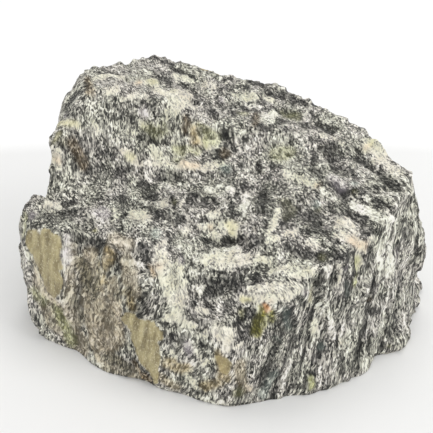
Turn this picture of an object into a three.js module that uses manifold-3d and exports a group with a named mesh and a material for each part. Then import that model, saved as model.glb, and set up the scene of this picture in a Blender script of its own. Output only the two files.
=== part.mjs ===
// An aquascaping rock: one broken block of banded gneiss that stands on a flat break.
// A low ledge runs round its left and front, and a taller crest stands behind it.
// Millimetres, +Z up, the front towards -Y. A bearing is in degrees, anticlockwise from +X,
// and a lean is how far a break faces up from the level. The breaks are placed round a point
// near the middle of the stone, and MIDDLE_SHIFT then puts the origin under its exact middle,
// on the surface that it rests on.

import * as THREE from 'three';
import { mergeVertices } from 'three/addons/utils/BufferGeometryUtils.js';
import Module from 'manifold-3d';

// Driving dimensions
const LEFT_END = -92.5;
const RIGHT_END = 98.5;
const NOSE_FRONT = -71.5;
const CREST_BACK = 62;
const LEDGE_HEIGHT = 60;
const LEDGE_RISE = [0.144, 0.3];
const CREST_HEIGHT = 98.5;
const CREST_RISE = [-0.15, 0.085];
const FABRIC_BEARING = 43;
const FABRIC_LEAN = -13;
const EDGE_ROUNDING = 4;
const INNER_CORNER_ROUNDING = 6;
const MIDDLE_SHIFT = [-5.3, -9.62];

// How finely the stone is faceted
const SPHERE_DETAIL = 28;
const RELAXING_ROUNDS = 14;
const RAY_LENGTH = 190;
const RAY_HALVINGS = 26;
const RAY_START = new THREE.Vector3(0, 12, 6);
const TRIM_DEPTH = 14;
const SNAP_TO_FLOOR = 0.7;

// A vector of length 1 that faces along a bearing and leans up
function facing(bearing, lean) {
  const b = THREE.MathUtils.degToRad(bearing);
  const l = THREE.MathUtils.degToRad(lean);
  return new THREE.Vector3(Math.cos(l) * Math.cos(b), Math.cos(l) * Math.sin(b), Math.sin(l));
}

// A break that faces outwards through a point
function facet(bearing, lean, x, y, z) {
  const normal = facing(bearing, lean);
  return { normal, reach: normal.dot(new THREE.Vector3(x, y, z)) };
}

// A break on top, that climbs by rise[0] to the right and rise[1] to the back
function top(rise, x, y, z) {
  const normal = new THREE.Vector3(-rise[0], -rise[1], 1).normalize();
  return { normal, reach: normal.dot(new THREE.Vector3(x, y, z)) };
}

// The walls bound the whole stone.
const WALLS = [
  facet(240, 12, -67, -36.5, 0), // left front, along the layers
  facet(243, 0, -20, -60, 20), // left front, towards the nose
  facet(274, 0, 8, NOSE_FRONT, 20), // nose
  facet(290, 3, 38, -62, 0), // right front, across the layers
  facet(314, 6, 83, -34.5, 0), // right front, further round
  facet(345, 15, RIGHT_END - 0.5, -9, 45), // right end, above its bulge
  facet(345, -2, RIGHT_END, -9, 45), // right end, below its bulge
  facet(26, 17, 81, 3, 87.5), // right end, behind
  facet(49, 15, 52.5, 34.5, 93), // back, right
  facet(82, 13, -8, CREST_BACK, 100), // back
  facet(122, 16, -50, CREST_BACK - 4, 103), // back, left
  facet(194, -4, LEFT_END, -5, 40), // left end
  facet(270, -89, 0, 0, -TRIM_DEPTH), // below the floor, cut away at the end
];

// The ledge and the nose that slopes down from it
const LEDGE = [
  facet(138, 8, -83, 4, LEDGE_HEIGHT), // behind the ledge's left end
  top(LEDGE_RISE, -47, -27, LEDGE_HEIGHT),
  facet(250, 41, -9, -66, 35.5), // slope of the nose
  facet(245, 36, -38, -34, LEDGE_HEIGHT), // bevel over the left front wall
];

// The crest and the scarp that drops from it to the ledge
const CREST = [
  facet(176, 9, -78, 18, 80), // left side
  facet(266, 33, -55, 3, 66), // scarp
  facet(188, 38, -75, 22, 88), // chamfer under the left peak
  top(CREST_RISE, -12, 25, CREST_HEIGHT),
];

// Lumps and hollows: where, how wide along X, Y and Z, and how high (a hollow is below 0)
const LUMPS = [
  { at: [-5, 16, 90], width: [24, 16, 17], height: -4.6 }, // scoop in the scarp
  { at: [-10, 6, 77], width: [24, 7, 6], height: 2.2 }, // lip below the scoop
  { at: [-57, 10, 78], width: [13, 12, 16], height: -3 }, // hollow under the left peak
  { at: [-78, 20, 85], width: [7, 13, 9], height: 3 }, // rib at the left edge
  { at: [-60, -28, 54], width: [12, 10, 9], height: -4 }, // hollow below the ledge
  { at: [-48, -33, 52], width: [4, 6, 14], height: 1.8 }, // rib beside it
  { at: [-37, -38, 55], width: [9, 8, 7], height: -3.5 }, // hollow at the bevel
  { at: [-36, -46, 39], width: [7, 8, 11], height: -2.6 }, // nick in the wall's edge
  { at: [-20, -46, 50], width: [11, 17, 14], height: 2.2 }, // pale swelling on the nose
  { at: [2, -54, 52], width: [17, 11, 10], height: -3 }, // hollow beside it
  { at: [22, -60, 56], width: [17, 9, 6], height: 2 }, // long lens on the nose
  { at: [19, -67, 45], width: [10, 7, 8], height: -3.5 }, // hollow below the lens
  { at: [98, -12, 37], width: [9, 10, 8], height: 2.4 }, // bulge of the right end
  { at: [92, -24, 37], width: [8, 10, 7], height: -2.2 }, // nick below the bulge
  { at: [77, -43, 6], width: [5, 6, 13], height: -4 }, // cleft at the foot
  { at: [13, 54, 100], width: [13, 10, 8], height: -2 }, // dip in the back rim
  { at: [-53, 55, 104], width: [18, 13, 9], height: 1.3 }, // rim between the peaks
  { at: [40, -27, 72], width: [19, 13, 9], height: -2.2 }, // dip in the ledge, right
  { at: [-20, -18, 68], width: [22, 12, 9], height: 1.8 }, // swell in the ledge, left
  { at: [15, -14, 74], width: [11, 14, 9], height: -2 }, // dip in the ledge, middle
  { at: [60, 2, 85], width: [15, 12, 9], height: -1.6 }, // dip before the right rim
  { at: [-36, 76, 36], width: [26, 18, 22], height: 4 }, // swelling of the back
  { at: [22, 80, 34], width: [20, 16, 26], height: -5 }, // hollow in the back
  { at: [62, 50, 30], width: [22, 20, 26], height: 3.5 }, // swelling of the back, right
  { at: [-90, 34, 30], width: [18, 20, 22], height: -4 }, // hollow in the left end
  { at: [-22, 60, 104], width: [8, 9, 6], height: 2.5 }, // rim beside the high peak
  { at: [-79, 12, 77], width: [6, 10, 6], height: -2.5 }, // hollow below the rib
  { at: [-88, -3, 62], width: [7, 8, 6], height: 2.5 }, // knob at the ledge's left end
  { at: [-88, -22, 12], width: [8, 12, 11], height: 3 }, // swelling of the left foot
  { at: [-48, -46, 1], width: [22, 14, 15], height: 7 }, // foot that runs out under the plate
  { at: [-20, -60, 2], width: [10, 8, 10], height: 2 }, // foot of the plate
  { at: [-6, -67, 2], width: [14, 8, 8], height: 2 }, // foot of the nose, left
  { at: [44, -60, 2], width: [12, 8, 8], height: 2.5 }, // foot of the right front wall
  { at: [68, -48, 2], width: [9, 9, 9], height: 3.5 }, // foot before the cleft
  { at: [87, -33, 2], width: [12, 10, 8], height: 4.5 }, // foot of the right end
  { at: [103, 14, 17], width: [10, 36, 13], height: -6.5 }, // hollow of the right end
  { at: [-65, 44, 104], width: [8, 9, 7], height: 2.5 }, // tip of the left peak
  { at: [86, -4, 79], width: [10, 10, 8], height: 1.8 }, // corner of the right rim
];

// Steps: from where, the way the high side lies, how high it is and how far it runs on
const STEPS = [
  { at: [-36, -50, 18], towards: [0.82, -0.4, 0.42], height: 2.6, run: 26 }, // plate on the left wall
  { at: [-68, -26, 44], towards: [-0.9, 0.3, 0.1], height: 2, run: 30 }, // slab at the left end
  { at: [62, -53, 10], towards: [-0.93, -0.34, 0.1], height: 2.4, run: 22 }, // foot of the right wall
  { at: [46, -57, 46], towards: [0.9, 0.36, 0.25], height: 2, run: 26 }, // rib of the right wall
  { at: [-62, 62, 84], towards: [-0.3, -0.9, -0.3], height: 3, run: 24 }, // lip behind the left peak
  { at: [-12, 73, 52], towards: [0.1, 0.3, -0.95], height: 4, run: 34 }, // shelf across the back
  { at: [74, 30, 48], towards: [0.5, 0.2, -0.85], height: 3.5, run: 28 }, // shelf, right end
];
const STEP_EDGE = 2.2;

// Uneven breaks: layers of unlike height that lie side by side, which cross the stone's edges as
// ribs and leave the faces along them smooth. Sharpness is how sudden the steps between them are.
const UNEVENNESS = [
  { across: 38, along: 66, height: 1.7, sharpness: 1.3, seed: 1 },
  { across: 16, along: 40, height: 1.3, sharpness: 2.2, seed: 2 },
  { across: 8.5, along: 34, height: 0.8, sharpness: 2.2, seed: 3 },
];
// How far the breaks and layers wander from their planes, and over what distance
const WANDER = { spacing: 27, reach: 2.4, seed: 11 };

// The layers of the stone: one axis across them, one level along them, one down them
const ACROSS = facing(FABRIC_BEARING, FABRIC_LEAN);
const ALONG = facing(FABRIC_BEARING - 90, 0);
const DOWN = new THREE.Vector3().crossVectors(ACROSS, ALONG);

// A number from 0 to 1 that is always the same for a corner of the grid
function chance(i, j, k, seed) {
  const s = Math.sin(i * 127.1 + j * 311.7 + k * 74.7 + seed * 53.3) * 43758.5453;
  return s - Math.floor(s);
}

function mix(a, b, t) {
  return a + (b - a) * t;
}

// From 0 to 1 across a grid cell, the more suddenly the sharper it is
function ramp(t, sharpness) {
  return THREE.MathUtils.smootherstep((t - 0.5) * sharpness + 0.5, 0, 1);
}

// Noise from -1 to 1, one hill or hollow to a unit
function noise(x, y, z, sharpness, seed) {
  const i = Math.floor(x);
  const j = Math.floor(y);
  const k = Math.floor(z);
  const u = ramp(x - i, sharpness);
  const v = ramp(y - j, sharpness);
  const w = ramp(z - k, sharpness);
  const row = (dj, dk) => mix(chance(i, j + dj, k + dk, seed), chance(i + 1, j + dj, k + dk, seed), u);
  return mix(mix(row(0, 0), row(1, 0), v), mix(row(0, 1), row(1, 1), v), w) * 2 - 1;
}

// A point moved a little way, so that planes and layers wander
function wandered(p) {
  const q = p.clone().divideScalar(WANDER.spacing);
  const move = (n) => WANDER.reach * noise(q.x, q.y, q.z, 1, WANDER.seed + n);
  return new THREE.Vector3(p.x + move(0), p.y + move(1), p.z + move(2));
}

// The larger of two, with a rounded corner between them
function roundedMax(a, b, rounding) {
  const h = Math.max(rounding - Math.abs(a - b), 0) / rounding;
  return Math.max(a, b) + (h * h * rounding) / 4;
}

function block(facets, p) {
  let out = -Infinity;
  for (const { normal, reach } of facets) {
    const height = normal.dot(p) - reach;
    out = out === -Infinity ? height : roundedMax(out, height, EDGE_ROUNDING);
  }
  return out;
}

// Below 0 inside the stone's plain breaks, above 0 outside
function breaks(p) {
  const ledge = block(LEDGE, p);
  const crest = block(CREST, p);
  const both = -roundedMax(-ledge, -crest, INNER_CORNER_ROUNDING);
  return roundedMax(both, block(WALLS, p), EDGE_ROUNDING);
}

function lumpHeight({ at, width, height }, p) {
  const dx = (p.x - at[0]) / width[0];
  const dy = (p.y - at[1]) / width[1];
  const dz = (p.z - at[2]) / width[2];
  const left = Math.max(1 - (dx * dx + dy * dy + dz * dz) / 1.6, 0);
  return height * left * left;
}

function stepHeight({ at, towards, height, run }, p) {
  const offset = new THREE.Vector3(...at).sub(p);
  const past = -offset.dot(new THREE.Vector3(...towards).normalize());
  const left = Math.max(1 - offset.lengthSq() / (run * run), 0);
  return height * left * THREE.MathUtils.smoothstep(past, -STEP_EDGE, STEP_EDGE);
}

// How far the stone's surface stands out from its breaks
function relief(p, wanderer) {
  let out = 0;
  for (const lump of LUMPS) out += lumpHeight(lump, p);
  for (const step of STEPS) out += stepHeight(step, p);
  const across = wanderer.dot(ACROSS);
  const along = wanderer.dot(ALONG);
  const down = wanderer.dot(DOWN);
  for (const { across: a, along: b, height, sharpness, seed } of UNEVENNESS) {
    out += height * noise(across / a, along / b, down / b, sharpness, seed);
  }
  return out;
}

// Below 0 inside the stone, above 0 outside
function stone(p) {
  const wanderer = wandered(p);
  return breaks(wanderer) - relief(p, wanderer);
}

// Where a ray from inside the stone leaves a form
function surfacePoint(form, direction) {
  const p = new THREE.Vector3();
  let inside = 0;
  let outside = RAY_LENGTH;
  for (let n = 0; n < RAY_HALVINGS; n++) {
    const middle = (inside + outside) / 2;
    p.copy(direction).multiplyScalar(middle).add(RAY_START);
    if (form(p) < 0) inside = middle;
    else outside = middle;
  }
  return p;
}

// For each vertex of a mesh, the vertices that share an edge with it
function neighbours(index, count) {
  const sets = Array.from({ length: count }, () => new Set());
  for (let f = 0; f < index.count; f += 3) {
    for (let c = 0; c < 3; c++) {
      const a = index.getX(f + c);
      const b = index.getX(f + ((c + 1) % 3));
      sets[a].add(b);
      sets[b].add(a);
    }
  }
  return sets;
}

// A net of even triangles drawn over the stone, with its relief
function stoneSkin() {
  const sphere = new THREE.IcosahedronGeometry(1, SPHERE_DETAIL);
  sphere.deleteAttribute('normal');
  sphere.deleteAttribute('uv');
  const skin = mergeVertices(sphere);
  const position = skin.attributes.position;
  const nextTo = neighbours(skin.index, position.count);
  const directions = [];
  for (let v = 0; v < position.count; v++) {
    directions.push(new THREE.Vector3().fromBufferAttribute(position, v).normalize());
  }
  for (let round = 0; round < RELAXING_ROUNDS; round++) {
    const points = directions.map((direction) => surfacePoint(breaks, direction));
    for (let v = 0; v < position.count; v++) {
      const middle = new THREE.Vector3();
      for (const w of nextTo[v]) middle.add(points[w]);
      directions[v].copy(middle.divideScalar(nextTo[v].size).sub(RAY_START).normalize());
    }
  }
  for (let v = 0; v < position.count; v++) {
    const p = surfacePoint(stone, directions[v]);
    if (Math.abs(p.z) < SNAP_TO_FLOOR) p.z = 0;
    position.setXYZ(v, p.x, p.y, p.z);
  }
  return skin;
}

const wasm = await Module();
wasm.setup();

function toSolid(geometry) {
  const bare = geometry.clone();
  bare.deleteAttribute('normal');
  bare.deleteAttribute('uv');
  const closed = mergeVertices(bare);
  return new wasm.Manifold(
    new wasm.Mesh({
      numProp: 3,
      vertProperties: new Float32Array(closed.attributes.position.array),
      triVerts: new Uint32Array(closed.index.array),
    }),
  );
}

function toGeometry(solid) {
  const { vertProperties, triVerts } = solid.getMesh();
  const geometry = new THREE.BufferGeometry();
  geometry.setAttribute('position', new THREE.BufferAttribute(vertProperties, 3));
  geometry.setIndex(new THREE.BufferAttribute(triVerts, 1));
  return geometry;
}

// The flat break that the stone stands on
function belowTheFloor() {
  const size = 3 * RAY_LENGTH;
  return new THREE.BoxGeometry(size, size, size).translate(0, 0, -size / 2);
}

function stoneGeometry() {
  const trimmed = toSolid(stoneSkin()).subtract(toSolid(belowTheFloor()));
  const geometry = toGeometry(trimmed).toNonIndexed();
  geometry.translate(MIDDLE_SHIFT[0], MIDDLE_SHIFT[1], 0);
  geometry.computeVertexNormals();
  return geometry;
}

const rock = new THREE.Mesh(
  stoneGeometry(),
  new THREE.MeshStandardMaterial({ color: 0x8f8d84, roughness: 0.85, metalness: 0 }),
);
rock.name = 'rock';

const aquascapingRock = new THREE.Group();
aquascapingRock.add(rock);

export default aquascapingRock;
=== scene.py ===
"""An aquascaping rock: a broken block of banded gneiss on a pale table in soft studio light.

The stone is one solid. Its breaks, lumps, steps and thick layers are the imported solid's, worked
out again on a fine net, with the thin layers, grains and chips that the coarse solid leaves out.
The stone's form is in millimetres and turned into metres when its mesh is made.
"""

import math
import random

import bpy
import numpy as np
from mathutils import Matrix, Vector
from mathutils.bvhtree import BVHTree


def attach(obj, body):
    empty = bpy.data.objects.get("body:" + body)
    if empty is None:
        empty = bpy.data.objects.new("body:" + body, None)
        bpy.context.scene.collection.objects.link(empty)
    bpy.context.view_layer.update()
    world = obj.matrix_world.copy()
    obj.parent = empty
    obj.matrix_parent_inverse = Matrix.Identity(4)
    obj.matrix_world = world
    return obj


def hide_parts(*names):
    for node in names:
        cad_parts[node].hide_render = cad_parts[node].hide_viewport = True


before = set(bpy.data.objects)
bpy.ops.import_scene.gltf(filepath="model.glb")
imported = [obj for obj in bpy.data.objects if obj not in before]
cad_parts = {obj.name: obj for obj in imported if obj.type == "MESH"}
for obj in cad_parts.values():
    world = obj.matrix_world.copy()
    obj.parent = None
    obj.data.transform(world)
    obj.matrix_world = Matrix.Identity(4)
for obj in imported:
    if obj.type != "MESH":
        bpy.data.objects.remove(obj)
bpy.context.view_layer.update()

MM = 0.001
NODE = "rock"

# The photograph's frame and the camera that it was taken with
PHOTO_SIDE = 433
CAMERA_ELEVATION = math.radians(34)
CAMERA_FIELD = math.radians(28)
CAMERA_DISTANCE = 437
CAMERA_TARGET = np.array([-5.3, 10.3, 40.0])

# The solid's driving dimensions, in mm
LEFT_END = -92.5
RIGHT_END = 98.5
NOSE_FRONT = -71.5
CREST_BACK = 62
LEDGE_HEIGHT = 60
LEDGE_RISE = (0.144, 0.3)
CREST_HEIGHT = 98.5
CREST_RISE = (-0.15, 0.085)
FABRIC_BEARING = 43
FABRIC_LEAN = -13
EDGE_ROUNDING = 2.6
INNER_CORNER_ROUNDING = 5
MIDDLE_SHIFT = np.array([-5.3, -9.62, 0.0])

# The fine net over the stone, spread out by rays from a point inside it
RAY_START = np.array([0.0, 12.0, 6.0])
RAY_LENGTH = 190
SHORTEST_RAY = 0.1
COARSE_CUTS = 36
FINE_CUTS = 3
RELAXING_ROUNDS = 14
RELIEF_REACH = 14  # how far from its plain breaks the stone's surface is looked for, in mm
TABLE_GAP = 0.02  # a point below this height lies on the table

# How often a search for the surface halves its distance
RELAXING_HALVINGS = 13
PLAIN_HALVINGS = 11
FINAL_HALVINGS = 14


def facing(bearing, lean):
    """A vector of length 1 that faces along a bearing and leans up, both in degrees."""
    b = math.radians(bearing)
    l = math.radians(lean)
    return np.array([math.cos(l) * math.cos(b), math.cos(l) * math.sin(b), math.sin(l)])


def facet(bearing, lean, x, y, z):
    """A break that faces outwards through a point: its normal and how far out it lies."""
    normal = facing(bearing, lean)
    return normal, float(normal @ np.array([x, y, z]))


def top(rise, x, y, z):
    """A break on top, that climbs by rise[0] to the right and rise[1] to the back."""
    normal = np.array([-rise[0], -rise[1], 1.0])
    normal /= np.linalg.norm(normal)
    return normal, float(normal @ np.array([x, y, z]))


WALLS = [
    facet(240, 12, -67, -36.5, 0),  # left front, along the layers
    facet(243, 0, -20, -60, 20),  # left front, towards the nose
    facet(274, 0, 8, NOSE_FRONT, 20),  # nose
    facet(290, 3, 38, -62, 0),  # right front, across the layers
    facet(314, 6, 83, -34.5, 0),  # right front, further round
    facet(345, 15, RIGHT_END - 0.5, -9, 45),  # right end, above its bulge
    facet(345, -2, RIGHT_END, -9, 45),  # right end, below its bulge
    facet(26, 17, 81, 3, 87.5),  # right end, behind
    facet(49, 15, 52.5, 34.5, 93),  # back, right
    facet(82, 13, -8, CREST_BACK, 100),  # back
    facet(122, 16, -50, CREST_BACK - 4, 103),  # back, left
    facet(194, -4, LEFT_END, -5, 40),  # left end
]
LEDGE = [
    facet(138, 8, -83, 4, LEDGE_HEIGHT),  # behind the ledge's left end
    top(LEDGE_RISE, -47, -27, LEDGE_HEIGHT),
    facet(250, 41, -9, -66, 35.5),  # slope of the nose
    facet(245, 36, -38, -34, LEDGE_HEIGHT),  # bevel over the left front wall
]
CREST = [
    facet(176, 9, -78, 18, 80),  # left side
    facet(266, 33, -55, 3, 66),  # scarp
    facet(188, 38, -74, 22, 87),  # chamfer under the left peak
    top(CREST_RISE, -12, 25, CREST_HEIGHT),
]

# Lumps and hollows: where, how wide along X, Y and Z, and how high (a hollow is below 0)
LUMPS = [
    ((-5, 16, 90), (24, 16, 17), -4.6),  # scoop in the scarp
    ((-10, 6, 77), (24, 7, 6), 2.2),  # lip below the scoop
    ((-57, 10, 78), (13, 12, 16), -3),  # hollow under the left peak
    ((-78, 20, 85), (7, 13, 9), 3),  # rib at the left edge
    ((-60, -28, 54), (12, 10, 9), -4),  # hollow below the ledge
    ((-48, -33, 52), (4, 6, 14), 1.8),  # rib beside it
    ((-37, -38, 55), (9, 8, 7), -3.5),  # hollow at the bevel
    ((-36, -46, 39), (7, 8, 11), -2.6),  # nick in the wall's edge
    ((-20, -46, 50), (11, 17, 14), 2.2),  # pale swelling on the nose
    ((2, -54, 52), (17, 11, 10), -3),  # hollow beside it
    ((22, -60, 56), (17, 9, 6), 2),  # long lens on the nose
    ((19, -67, 45), (10, 7, 8), -3.5),  # hollow below the lens
    ((98, -12, 37), (9, 10, 8), 2.4),  # bulge of the right end
    ((92, -24, 37), (8, 10, 7), -2.2),  # nick below the bulge
    ((77, -43, 6), (5, 6, 13), -4),  # cleft at the foot
    ((13, 54, 100), (13, 10, 8), -2),  # dip in the back rim
    ((-53, 55, 104), (18, 13, 9), 1.3),  # rim between the peaks
    ((40, -27, 72), (19, 13, 9), -2.2),  # dip in the ledge, right
    ((-20, -18, 68), (22, 12, 9), 1.8),  # swell in the ledge, left
    ((15, -14, 74), (11, 14, 9), -2),  # dip in the ledge, middle
    ((60, 2, 85), (15, 12, 9), -1.6),  # dip before the right rim
    ((-36, 76, 36), (26, 18, 22), 4),  # swelling of the back
    ((22, 80, 34), (20, 16, 26), -5),  # hollow in the back
    ((62, 50, 30), (22, 20, 26), 3.5),  # swelling of the back, right
    ((-90, 34, 30), (18, 20, 22), -4),  # hollow in the left end
    ((-22, 60, 104), (8, 9, 6), 2.5),  # rim beside the high peak
    ((-79, 12, 77), (6, 10, 6), -2.5),  # hollow below the rib
    ((-88, -3, 62), (7, 8, 6), 2.5),  # knob at the ledge's left end
    ((-88, -22, 12), (8, 12, 11), 3),  # swelling of the left foot
    ((-48, -46, 1), (22, 14, 15), 7),  # foot that runs out under the plate
    ((-20, -60, 2), (10, 8, 10), 2),  # foot of the plate
    ((-6, -67, 2), (14, 8, 8), 2),  # foot of the nose, left
    ((44, -60, 2), (12, 8, 8), 2.5),  # foot of the right front wall
    ((68, -48, 2), (9, 9, 9), 3.5),  # foot before the cleft
    ((87, -33, 2), (12, 10, 8), 4.5),  # foot of the right end
    ((103, 14, 17), (10, 36, 13), -6.5),  # hollow of the right end
    ((-65, 44, 104), (8, 9, 7), 2.5),  # tip of the left peak
    ((86, -4, 79), (10, 10, 8), 1.8),  # corner of the right rim
]

# Steps: from where, the way the high side lies, how high it is and how far it runs on
STEPS = [
    ((-36, -50, 18), (0.82, -0.4, 0.42), 2.6, 26),  # plate on the left wall
    ((-68, -26, 44), (-0.9, 0.3, 0.1), 2, 30),  # slab at the left end
    ((62, -53, 10), (-0.93, -0.34, 0.1), 2.4, 22),  # foot of the right wall
    ((46, -57, 46), (0.9, 0.36, 0.25), 2, 26),  # rib of the right wall
    ((-62, 62, 84), (-0.3, -0.9, -0.3), 3, 24),  # lip behind the left peak
    ((-12, 73, 52), (0.1, 0.3, -0.95), 4, 34),  # shelf across the back
    ((74, 30, 48), (0.5, 0.2, -0.85), 3.5, 28),  # shelf, right end
]
STEP_EDGE = 1.2
LUMP_FADE = 1.6  # where a lump ends, as the square of its distance in widths

# Uneven layers: thickness across, length along, height, how sudden their steps are, and a seed
SOLID_LAYERS = [
    (38, 66, 1.7, 1.3, 1),
    (16, 40, 1.3, 2.2, 2),
    (8.5, 34, 0.8, 2.2, 3),
]
FINE_LAYERS = [
    (4.6, 26, 0.5, 2.4, 21),
    (2.6, 15, 0.32, 2.0, 22),
]
WANDER_SPACING = 27
WANDER_REACH = 2.4
WANDER_SEED = 11

# The layers of the stone: one axis across them, one level along them, one down them
ACROSS = facing(FABRIC_BEARING, FABRIC_LEAN)
ALONG = facing(FABRIC_BEARING - 90, 0)
DOWN = np.cross(ACROSS, ALONG)
FABRIC = np.stack([ACROSS, ALONG, DOWN])


def chance(i, j, k, seed):
    """A number from 0 to 1 that is always the same for a corner of the grid."""
    s = np.sin(i * 127.1 + j * 311.7 + k * 74.7 + seed * 53.3) * 43758.5453
    return s - np.floor(s)


def ramp(t, sharpness):
    """From 0 to 1 across a grid cell, the more suddenly the sharper it is."""
    t = np.clip((t - 0.5) * sharpness + 0.5, 0, 1)
    return t * t * t * (t * (t * 6 - 15) + 10)


def noise(points, spacing, sharpness, seed):
    """Noise from -1 to 1 at each point, one hill or hollow to a spacing."""
    q = points / np.asarray(spacing, float)
    cell = np.floor(q)
    u, v, w = ramp(q - cell, sharpness).T
    i, j, k = cell.T

    def row(dj, dk):
        low = chance(i, j + dj, k + dk, seed)
        return low + (chance(i + 1, j + dj, k + dk, seed) - low) * u

    front = row(0, 0) + (row(1, 0) - row(0, 0)) * v
    back = row(0, 1) + (row(1, 1) - row(0, 1)) * v
    return (front + (back - front) * w) * 2 - 1


def wandered(points):
    """The points moved a little way, so that planes and layers wander."""
    moves = [noise(points, WANDER_SPACING, 1, WANDER_SEED + n) for n in range(3)]
    return points + WANDER_REACH * np.stack(moves, axis=1)


def rounded_max(a, b, rounding):
    """The larger of two, with a rounded corner between them."""
    h = np.maximum(rounding - np.abs(a - b), 0) / rounding
    return np.maximum(a, b) + h * h * rounding / 4


def block(facets, points):
    """How far outside a block of facets each point lies, below 0 inside it."""
    out = None
    for normal, reach in facets:
        height = points @ normal - reach
        out = height if out is None else rounded_max(out, height, EDGE_ROUNDING)
    return out


def breaks(points):
    """Below 0 inside the stone's plain breaks, above 0 outside."""
    both = -rounded_max(-block(LEDGE, points), -block(CREST, points), INNER_CORNER_ROUNDING)
    return rounded_max(both, block(WALLS, points), EDGE_ROUNDING)


def lump_height(points, at, width, height):
    """How far a lump stands out at each point."""
    offset = (points - np.array(at, float)) / np.array(width, float)
    left = np.maximum(1 - (offset * offset).sum(axis=1) / LUMP_FADE, 0)
    return height * left * left


def step_height(points, at, towards, height, run):
    """How far the high side of a step stands out at each point."""
    offset = points - np.array(at, float)
    way = np.array(towards, float)
    past = offset @ (way / np.linalg.norm(way))
    left = np.maximum(1 - (offset * offset).sum(axis=1) / run ** 2, 0)
    t = np.clip((past + STEP_EDGE) / (2 * STEP_EDGE), 0, 1)
    return height * left * t * t * (3 - 2 * t)


def layer_height(fabric, layers):
    """How far uneven layers stand out, at points given along the fabric's three axes."""
    out = 0
    for across, along, height, sharpness, seed in layers:
        out = out + height * noise(fabric, (across, along, along), sharpness, seed)
    return out


def stone(points):
    """Below 0 inside the stone, above 0 outside."""
    wanderers = wandered(points)
    out = breaks(wanderers)
    for lump in LUMPS:
        out = out - lump_height(points, *lump)
    for step in STEPS:
        out = out - step_height(points, *step)
    out = out - layer_height(wanderers @ FABRIC.T, SOLID_LAYERS)
    return np.maximum(out, -points[:, 2])


def plain_stone(points):
    """The stone's breaks alone, which are quick to work out."""
    return np.maximum(breaks(points), -points[:, 2])


def surface_points(form, directions, near, far, halvings):
    """Where rays from inside the stone leave a form, between two distances for each ray."""
    for _ in range(halvings):
        middle = (near + far) / 2
        inside = form(RAY_START + directions * middle[:, None]) < 0
        near = np.where(inside, middle, near)
        far = np.where(inside, far, middle)
    return RAY_START + directions * ((near + far) / 2)[:, None]


def icosahedron():
    """The corners and faces of an icosahedron."""
    golden = (1 + 5 ** 0.5) / 2
    corners = []
    for a in (-1, 1):
        for b in (-golden, golden):
            corners += [(0, a, b), (a, b, 0), (b, 0, a)]
    corners = np.array(corners, float)
    faces = []
    for i in range(12):
        for j in range(i + 1, 12):
            for k in range(j + 1, 12):
                sides = corners[[j, k, i]] - corners[[i, j, k]]
                if np.allclose((sides * sides).sum(axis=1), 4):
                    out = np.dot(np.cross(sides[0], sides[1]), corners[i]) > 0
                    faces.append((i, j, k) if out else (i, k, j))
    return corners, np.array(faces)


def cut_faces(corners, faces, cuts):
    """Each triangle is cut into cuts * cuts triangles, and corners that meet become one."""
    steps = [(i, j) for i in range(cuts + 1) for j in range(cuts + 1 - i)]
    place = {step: n for n, step in enumerate(steps)}
    share = np.array([(cuts - i - j, i, j) for i, j in steps]) / cuts
    small = []
    for i in range(cuts):
        for j in range(cuts - i):
            small.append((place[i, j], place[i + 1, j], place[i, j + 1]))
            if j < cuts - i - 1:
                small.append((place[i + 1, j], place[i + 1, j + 1], place[i, j + 1]))
    points = np.einsum("sc,fcx->fsx", share, corners[faces]).reshape(-1, 3)
    first_of_face = np.arange(len(faces))[:, None, None] * len(steps)
    triangles = (np.array(small)[None] + first_of_face).reshape(-1, 3)
    _, first, where = np.unique(np.round(points, 6), axis=0, return_index=True, return_inverse=True)
    return points[first], where.reshape(-1)[triangles]


def to_directions(points):
    return points / np.linalg.norm(points, axis=1, keepdims=True)


def edges_round(triangles):
    """Every triangle's three edges, from corner to corner the way round that the triangle goes."""
    return np.concatenate([triangles[:, [0, 1]], triangles[:, [1, 2]], triangles[:, [2, 0]]])


def neighbour_mean(values, edges, counts):
    """For each vertex, the mean of the values of the vertices that share an edge with it."""
    at, beside = edges.T
    sums = [np.bincount(at, column[beside], len(values)) for column in values.T]
    return np.stack(sums, axis=1) / counts[:, None]


def vertex_normals(points, triangles):
    sides = points[triangles]
    across = np.cross(sides[:, 1] - sides[:, 0], sides[:, 2] - sides[:, 0])
    normals = np.zeros_like(points)
    for corner in range(3):
        np.add.at(normals, triangles[:, corner], across)
    return to_directions(normals)


def plain_points(directions, halvings):
    """Where rays from inside the stone leave its plain breaks."""
    nearest = np.zeros(len(directions))
    farthest = np.full(len(directions), float(RAY_LENGTH))
    return surface_points(plain_stone, directions, nearest, farthest, halvings)


def stone_net():
    """A fine net of even triangles over the stone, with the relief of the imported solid."""
    corners, faces = icosahedron()
    points, triangles = cut_faces(corners, faces, COARSE_CUTS)
    directions = to_directions(points)
    edges = edges_round(triangles)
    edges = np.concatenate([edges, edges[:, ::-1]])
    counts = np.bincount(edges[:, 0], minlength=len(directions))
    for _ in range(RELAXING_ROUNDS):
        points = plain_points(directions, RELAXING_HALVINGS)
        directions = to_directions(neighbour_mean(points, edges, counts) - RAY_START)
    points, triangles = cut_faces(directions, triangles, FINE_CUTS)
    directions = to_directions(points)
    distance = np.linalg.norm(plain_points(directions, PLAIN_HALVINGS) - RAY_START, axis=1)
    nearest = np.maximum(distance - RELIEF_REACH, SHORTEST_RAY)
    points = surface_points(stone, directions, nearest, distance + RELIEF_REACH, FINAL_HALVINGS)
    return points, triangles


def picture_axes():
    """The photograph's axes in the stone's frame: to the right, up, and back to the camera."""
    back = np.array([0, -math.cos(CAMERA_ELEVATION), math.sin(CAMERA_ELEVATION)])
    up = np.array([0, math.sin(CAMERA_ELEVATION), math.cos(CAMERA_ELEVATION)])
    return np.array([1.0, 0.0, 0.0]), up, back


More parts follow.
